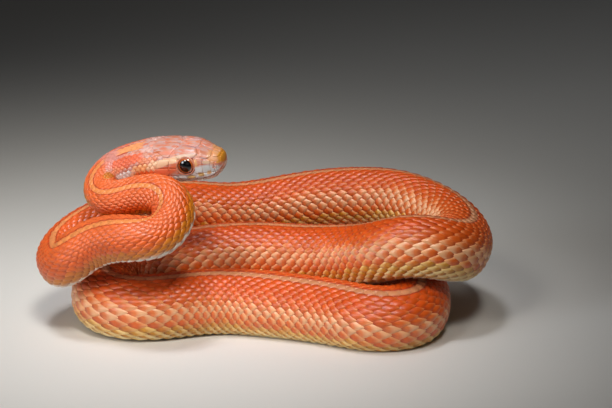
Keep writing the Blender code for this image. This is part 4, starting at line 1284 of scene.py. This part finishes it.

# %% [markdown]
# ## Patches of the head
# The head has no bands. Its ground is pink, marbled with lilac that is partly its own colour and
# partly a painted sheen, and flamed with orange. Over it every mark is an oval patch with a ragged
# edge, some of them slanted, with its place and size in the table above. The underside is whitish,
# and past the nape the trunk takes over.

# %% Head
# Lilac marbling, partly the head's own colour and partly a painted sheen
lilac_sheen_marble = stretched_noise(markings, place, (0.45, 0.2, 0.0))
head = blend_colours(markings, soft_step(markings, lilac_sheen_marble, 0.42, 0.6), LILAC_AND_SHEEN, HEAD_BASE)
flame = stretched_noise(markings, place, (0.5, 0.13, 1.0), scale=1.3, rough=0.55)
head = blend_colours(markings, soft_step(markings, flame, 0.45, 0.64, 0.0, 0.85), head, HEAD_ORANGE)
fleck = stretched_noise(markings, place, (0.5, 0.09, 0.0))
ragged = calc(markings, "MULTIPLY_ADD", fleck, 0.9, -0.45)
flat_place = add_node(markings, "ShaderNodeCombineXYZ", (along, away, 0.0))
for at, angle, reach, breadth, colour, strength, slant in HEAD_MARKS:
    scaling = (flat_place, (1 / reach, 1 / breadth, 0.0), (-at / reach, -angle / breadth, 0.0))
    scaled = add_node(markings, "ShaderNodeVectorMath", scaling, operation="MULTIPLY_ADD")
    if slant:
        ahead = add_node(markings, "ShaderNodeSeparateXYZ", (scaled,))
        aside = add_node(markings, "ShaderNodeSeparateXYZ", (scaled,), out=1)
        tilted = calc(markings, "MULTIPLY_ADD", ahead, -slant * reach / breadth, aside)
        scaled = add_node(markings, "ShaderNodeCombineXYZ", (ahead, tilted, 0.0))
    far = add_node(markings, "ShaderNodeVectorMath", (scaled,), out=1, operation="LENGTH")
    far = calc(markings, "ADD", far, ragged)
    head = blend_colours(markings, soft_step(markings, far, 0.72, 1.15, strength, 0.0), head, colour)
head = blend_colours(markings, soft_step(markings, away, 114.0, 124.0), head, WHITE)
neck_begins = calc(markings, "MULTIPLY_ADD", soft_step(markings, away, 16.0, 60.0), 9.0, 27.0)
past_head = calc(markings, "SUBTRACT", along, neck_begins)
past_head = calc(markings, "MULTIPLY_ADD", fleck, 4.0, past_head)
colour = blend_colours(markings, soft_step(markings, past_head, 0.5, 3.5), head, trunk)
print("patches laid", len(HEAD_MARKS))

# %% [markdown]
# ## Rim, root and shade of each scale
# A scale's edge carries its pale net colour, and on its upper side the rim reaches further as a
# painted highlight. Its root is darkened with painted shade. Its chance shade makes it a little
# brighter or darker than its neighbours.

# %% Rim, root and shade
# Pale rim colour, partly the scales' own paler edges and partly a painted highlight on their upper sides
rim_colour_and_highlight = blend_colours(
    markings, is_body, ramp(markings, moved, NECK_RIMS_AND_HIGHLIGHT), ramp(markings, moved, BODY_RIMS_AND_HIGHLIGHT))
rim_from = ramp(markings, moved, [(angle, (share, share, share, 1.0)) for angle, share in RIM_REACH])
rim_from = calc(markings, "SUBTRACT", rim_from, NECK_RIM_REACH)
rim_from = calc(markings, "MULTIPLY_ADD", rim_from, is_body, NECK_RIM_REACH)
rim_and_highlight_share = soft_step(markings, calc(markings, "SUBTRACT", rim, rim_from), 0.0, 0.5)
rim_and_highlight_share = calc(markings, "MULTIPLY", rim_and_highlight_share, soft_step(markings, along, 16.0, 34.0, 0.1, 0.9))
colour = blend_colours(markings, rim_and_highlight_share, colour, rim_colour_and_highlight)
# Painted shade: the root of each scale is darkened, only a little on the back stripe
root_shade_share = calc(markings, "MULTIPLY", soft_step(markings, rim, -0.7, 0.1, 0.5, 0.0), hold)
colour = blend_colours(markings, root_shade_share, colour, PAINTED_ROOT_SHADE, "MULTIPLY")
bright = calc(markings, "MULTIPLY_ADD", tint, 0.2, 0.9)
shade = add_node(markings, "ShaderNodeCombineColor", (bright, bright, bright))
colour = blend_colours(markings, 1.0, colour, shade, "MULTIPLY")
markings.links.new(colour, leave["Color"])
markings.links.new(calc(markings, "MULTIPLY_ADD", fleck, 0.12, 0.3), leave["Rough"])
print("nodes in the markings", len(markings.nodes))

# %% [markdown]
# ## Skin, scales and plates as materials
# The three share the markings. The bare skin between the scales is duller, and a painted shade
# darkens it, most behind the head, so that the gaps read as shadow. Scales have a satin gloss that
# comes from their smooth horn, with a faint clear layer on top. A very fine relief keeps the horn
# from looking like plastic.

# %% Animal materials
RELIEF_DEPTH = 0.00006
HORN_COAT_ROUGH = 0.26
HORN_SHINE = 0.6
# Colour of the painted shade on the bare skin between the scales
PAINTED_GAP_SHADE = paint(150, 60, 36)


def read_attribute(tree, name):
    """A number kept on the mesh's points."""
    return add_node(tree, "ShaderNodeAttribute", out=2, attribute_name=name)


def animal_material(name, gap_shade, rough_more, bump, grain, coat):
    """A Principled material over the snake's markings."""
    material, tree, shader = new_material(name)
    group = tree.nodes.new("ShaderNodeGroup")
    group.node_tree = markings
    set_inputs(tree, group, {label: read_attribute(tree, label.lower()) for label, _ in INPUTS})
    colour = group.outputs["Color"]
    # Painted shade: the bare skin is darkened, most behind the head, so the gaps between scales read as
    # shadow
    if gap_shade:
        behind_head = soft_step(tree, read_attribute(tree, "along"), 14.0, 19.0, 0.12 * gap_shade, gap_shade)
        colour = blend_colours(tree, behind_head, colour, PAINTED_GAP_SHADE, "MULTIPLY")
    where = add_node(tree, "ShaderNodeTexCoord", out=3)
    fine = add_node(tree, "ShaderNodeTexNoise", (where, None, grain, 3.0, 0.6))
    relief = tree.nodes.new("ShaderNodeBump")
    set_inputs(tree, relief, {"Strength": bump, "Distance": RELIEF_DEPTH, "Height": fine})
    set_inputs(tree, shader, {
        "Base Color": colour, "Roughness": calc(tree, "ADD", group.outputs["Rough"], rough_more),
        "Normal": relief.outputs[0], "Coat Weight": coat, "Coat Roughness": HORN_COAT_ROUGH,
        "Specular IOR Level": HORN_SHINE,
    })
    return material


scale_finish = animal_material("scale_finish", 0.0, 0.04, 0.35, 2600.0, 0.2)
skin_finish = animal_material("skin_finish", 0.7, 0.2, 0.5, 3200.0, 0.0)
plate_finish = animal_material("plate_finish", 0.0, 0.02, 0.4, 1900.0, 0.15)
for piece in COAT:
    piece.data.materials.append(scale_finish)
for piece in (plates_piece, nostrils, eye_rims):
    piece.data.materials.append(plate_finish)
skin_piece.data.materials.append(skin_finish)
FLESH = [
    "head", "neck_first_bend", "neck_second_bend", "neck_left_bend", "body_far_left", "body_far",
    "body_right_bend", "body_middle", "body_low_left_bend", "body_front", "body_low_right_bend",
    "body_back", "tail_bend", "tail",
]
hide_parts(*FLESH)
print("flesh nodes replaced by one skin:", len(FLESH))

# %% [markdown]
# ## The eye's finish
# Pupil and iris are one painted surface under a wet clear layer. The pupil is a near black disc.
# The iris is orange brown, streaked outwards from the pupil, and its outer edge is dark.

# %% Eye material
eye_finish, tree, shader = new_material("eye_finish")
gaze_at = read_attribute(tree, "gaze")
spin_at = read_attribute(tree, "spin")
streak_place = add_node(tree, "ShaderNodeCombineXYZ", (
    calc(tree, "COSINE", spin_at), calc(tree, "SINE", spin_at), calc(tree, "MULTIPLY", gaze_at, 0.35)))
streak = add_node(tree, "ShaderNodeTexNoise", (streak_place, None, 7.0, 3.0, 0.6))
# Millimetres from the middle of the gaze, and the colour there
IRIS = [
    (0.0, paint(3, 3, 7)), (1.22, paint(3, 3, 7)), (1.29, paint(110, 44, 16)),
    (1.38, paint(196, 98, 42)), (1.52, paint(204, 108, 50)), (1.6, paint(124, 46, 18)),
    (1.68, paint(54, 16, 10)), (2.0, paint(40, 14, 10)),
]
iris = ramp(tree, gaze_at, IRIS, whole=2.0)
streaked = soft_step(tree, streak, 0.35, 0.7, 0.0, 0.35)
iris = blend_colours(tree, streaked, iris, paint(150, 80, 40), "MULTIPLY")
set_inputs(tree, shader, {
    "Base Color": iris, "Roughness": 0.3, "Specular IOR Level": 0.0, "Coat Weight": 1.0,
    "Coat Roughness": 0.02, "Coat IOR": 1.8,
})
for piece in EYES:
    piece.data.materials.append(eye_finish)
print("eye finish ready")

# %% [markdown]
# ## Floor
# The model stands on a plain pale floor, wide enough to fill the view.

# %% Stage
FLOOR_REACH = 3.0
corners = [(x * FLOOR_REACH, y * FLOOR_REACH, 0.0) for x, y in ((-1, -1), (1, -1), (1, 1), (-1, 1))]
floor_mesh = bpy.data.meshes.new("floor")
floor_mesh.from_pydata(corners, [], [(0, 1, 2, 3)])
floor = bpy.data.objects.new("floor", floor_mesh)
bpy.context.scene.collection.objects.link(floor)
floor_paint, tree, shader = new_material("floor_paint")
floor_place = add_node(tree, "ShaderNodeTexCoord", out=3)
cloud = add_node(tree, "ShaderNodeTexNoise", (floor_place, None, 6.0, 2.0, 0.5))
tone = blend_colours(tree, soft_step(tree, cloud, 0.3, 0.7), paint(214, 212, 208), paint(220, 218, 214))
set_inputs(tree, shader, {"Base Color": tone, "Roughness": 0.7})
floor_mesh.materials.append(floor_paint)
print("floor", 2 * FLOOR_REACH, "m wide")

# %% [markdown]
# ## Light
# Six area lights stand round the model, most of them with a narrow beam, so that each one lights
# its own part of the coils. The key light is in front and above. A side light opens the left of
# the neck, and a cooler one above gives the sheen on the upper coils. A wide window low on the
# left makes the highlight of the eye. A faint one low in front lifts the undersides, and one
# behind draws the far edges. A dim even world keeps the deepest shadows from going black.

# %% Lights
WARM = (1.0, 0.965, 0.9)
COOL = (0.92, 0.95, 1.0)
LIGHTS = [
    # name, place, width, power, colour, spread as a share of a half turn, point it is aimed at
    ("key_light", (0.02, -0.33, 0.48), 0.17, 0.052, WARM, 0.102, (-0.044, -0.018, 0.022)),
    ("side_light", (-0.26, -0.37, 0.39), 0.2, 0.03, WARM, 0.12, (-0.022, -0.014, 0.03)),
    ("top_light", (-0.09, -0.1, 0.48), 0.12, 0.026, COOL, 0.11, (-0.02, -0.01, 0.02)),
    ("window_light", (-0.5, -0.36, 0.2), 0.32, 0.088, (0.88, 0.94, 1.0), 0.16, (-0.036, -0.022, 0.032)),
    ("low_fill", (-0.1, -0.6, 0.12), 0.4, 0.006, (1.0, 0.97, 0.92), 0.25, (-0.04, 0.0, 0.02)),
    ("back_light", (-0.4, 0.4, 0.45), 0.4, 0.02, (1.0, 0.98, 0.95), 1.0, (0.0, 0.0, 0.02)),
]
for name, at, size, power, colour, width, aim in LIGHTS:
    light = bpy.data.lights.new(name, "AREA")
    light.shape = "SQUARE"
    light.size = size
    light.energy = power
    light.color = colour
    light.spread = math.pi * width
    item = bpy.data.objects.new(name, light)
    item.location = at
    item.rotation_euler = (Vector(aim) - Vector(at)).to_track_quat("-Z", "Y").to_euler()
    bpy.context.scene.collection.objects.link(item)
world = bpy.data.worlds.new("studio")
bpy.context.scene.world = world
world.use_nodes = True
backdrop = world.node_tree.nodes["Background"]
backdrop.inputs["Color"].default_value = (0.92, 0.9, 0.88, 1.0)
backdrop.inputs["Strength"].default_value = 0.025
print("lights", len(LIGHTS))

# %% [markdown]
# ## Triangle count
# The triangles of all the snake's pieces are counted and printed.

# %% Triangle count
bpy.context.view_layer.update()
total = 0
for item in snake.objects:
    item.data.calc_loop_triangles()
    total += len(item.data.loop_triangles)
print("triangles in all", total)
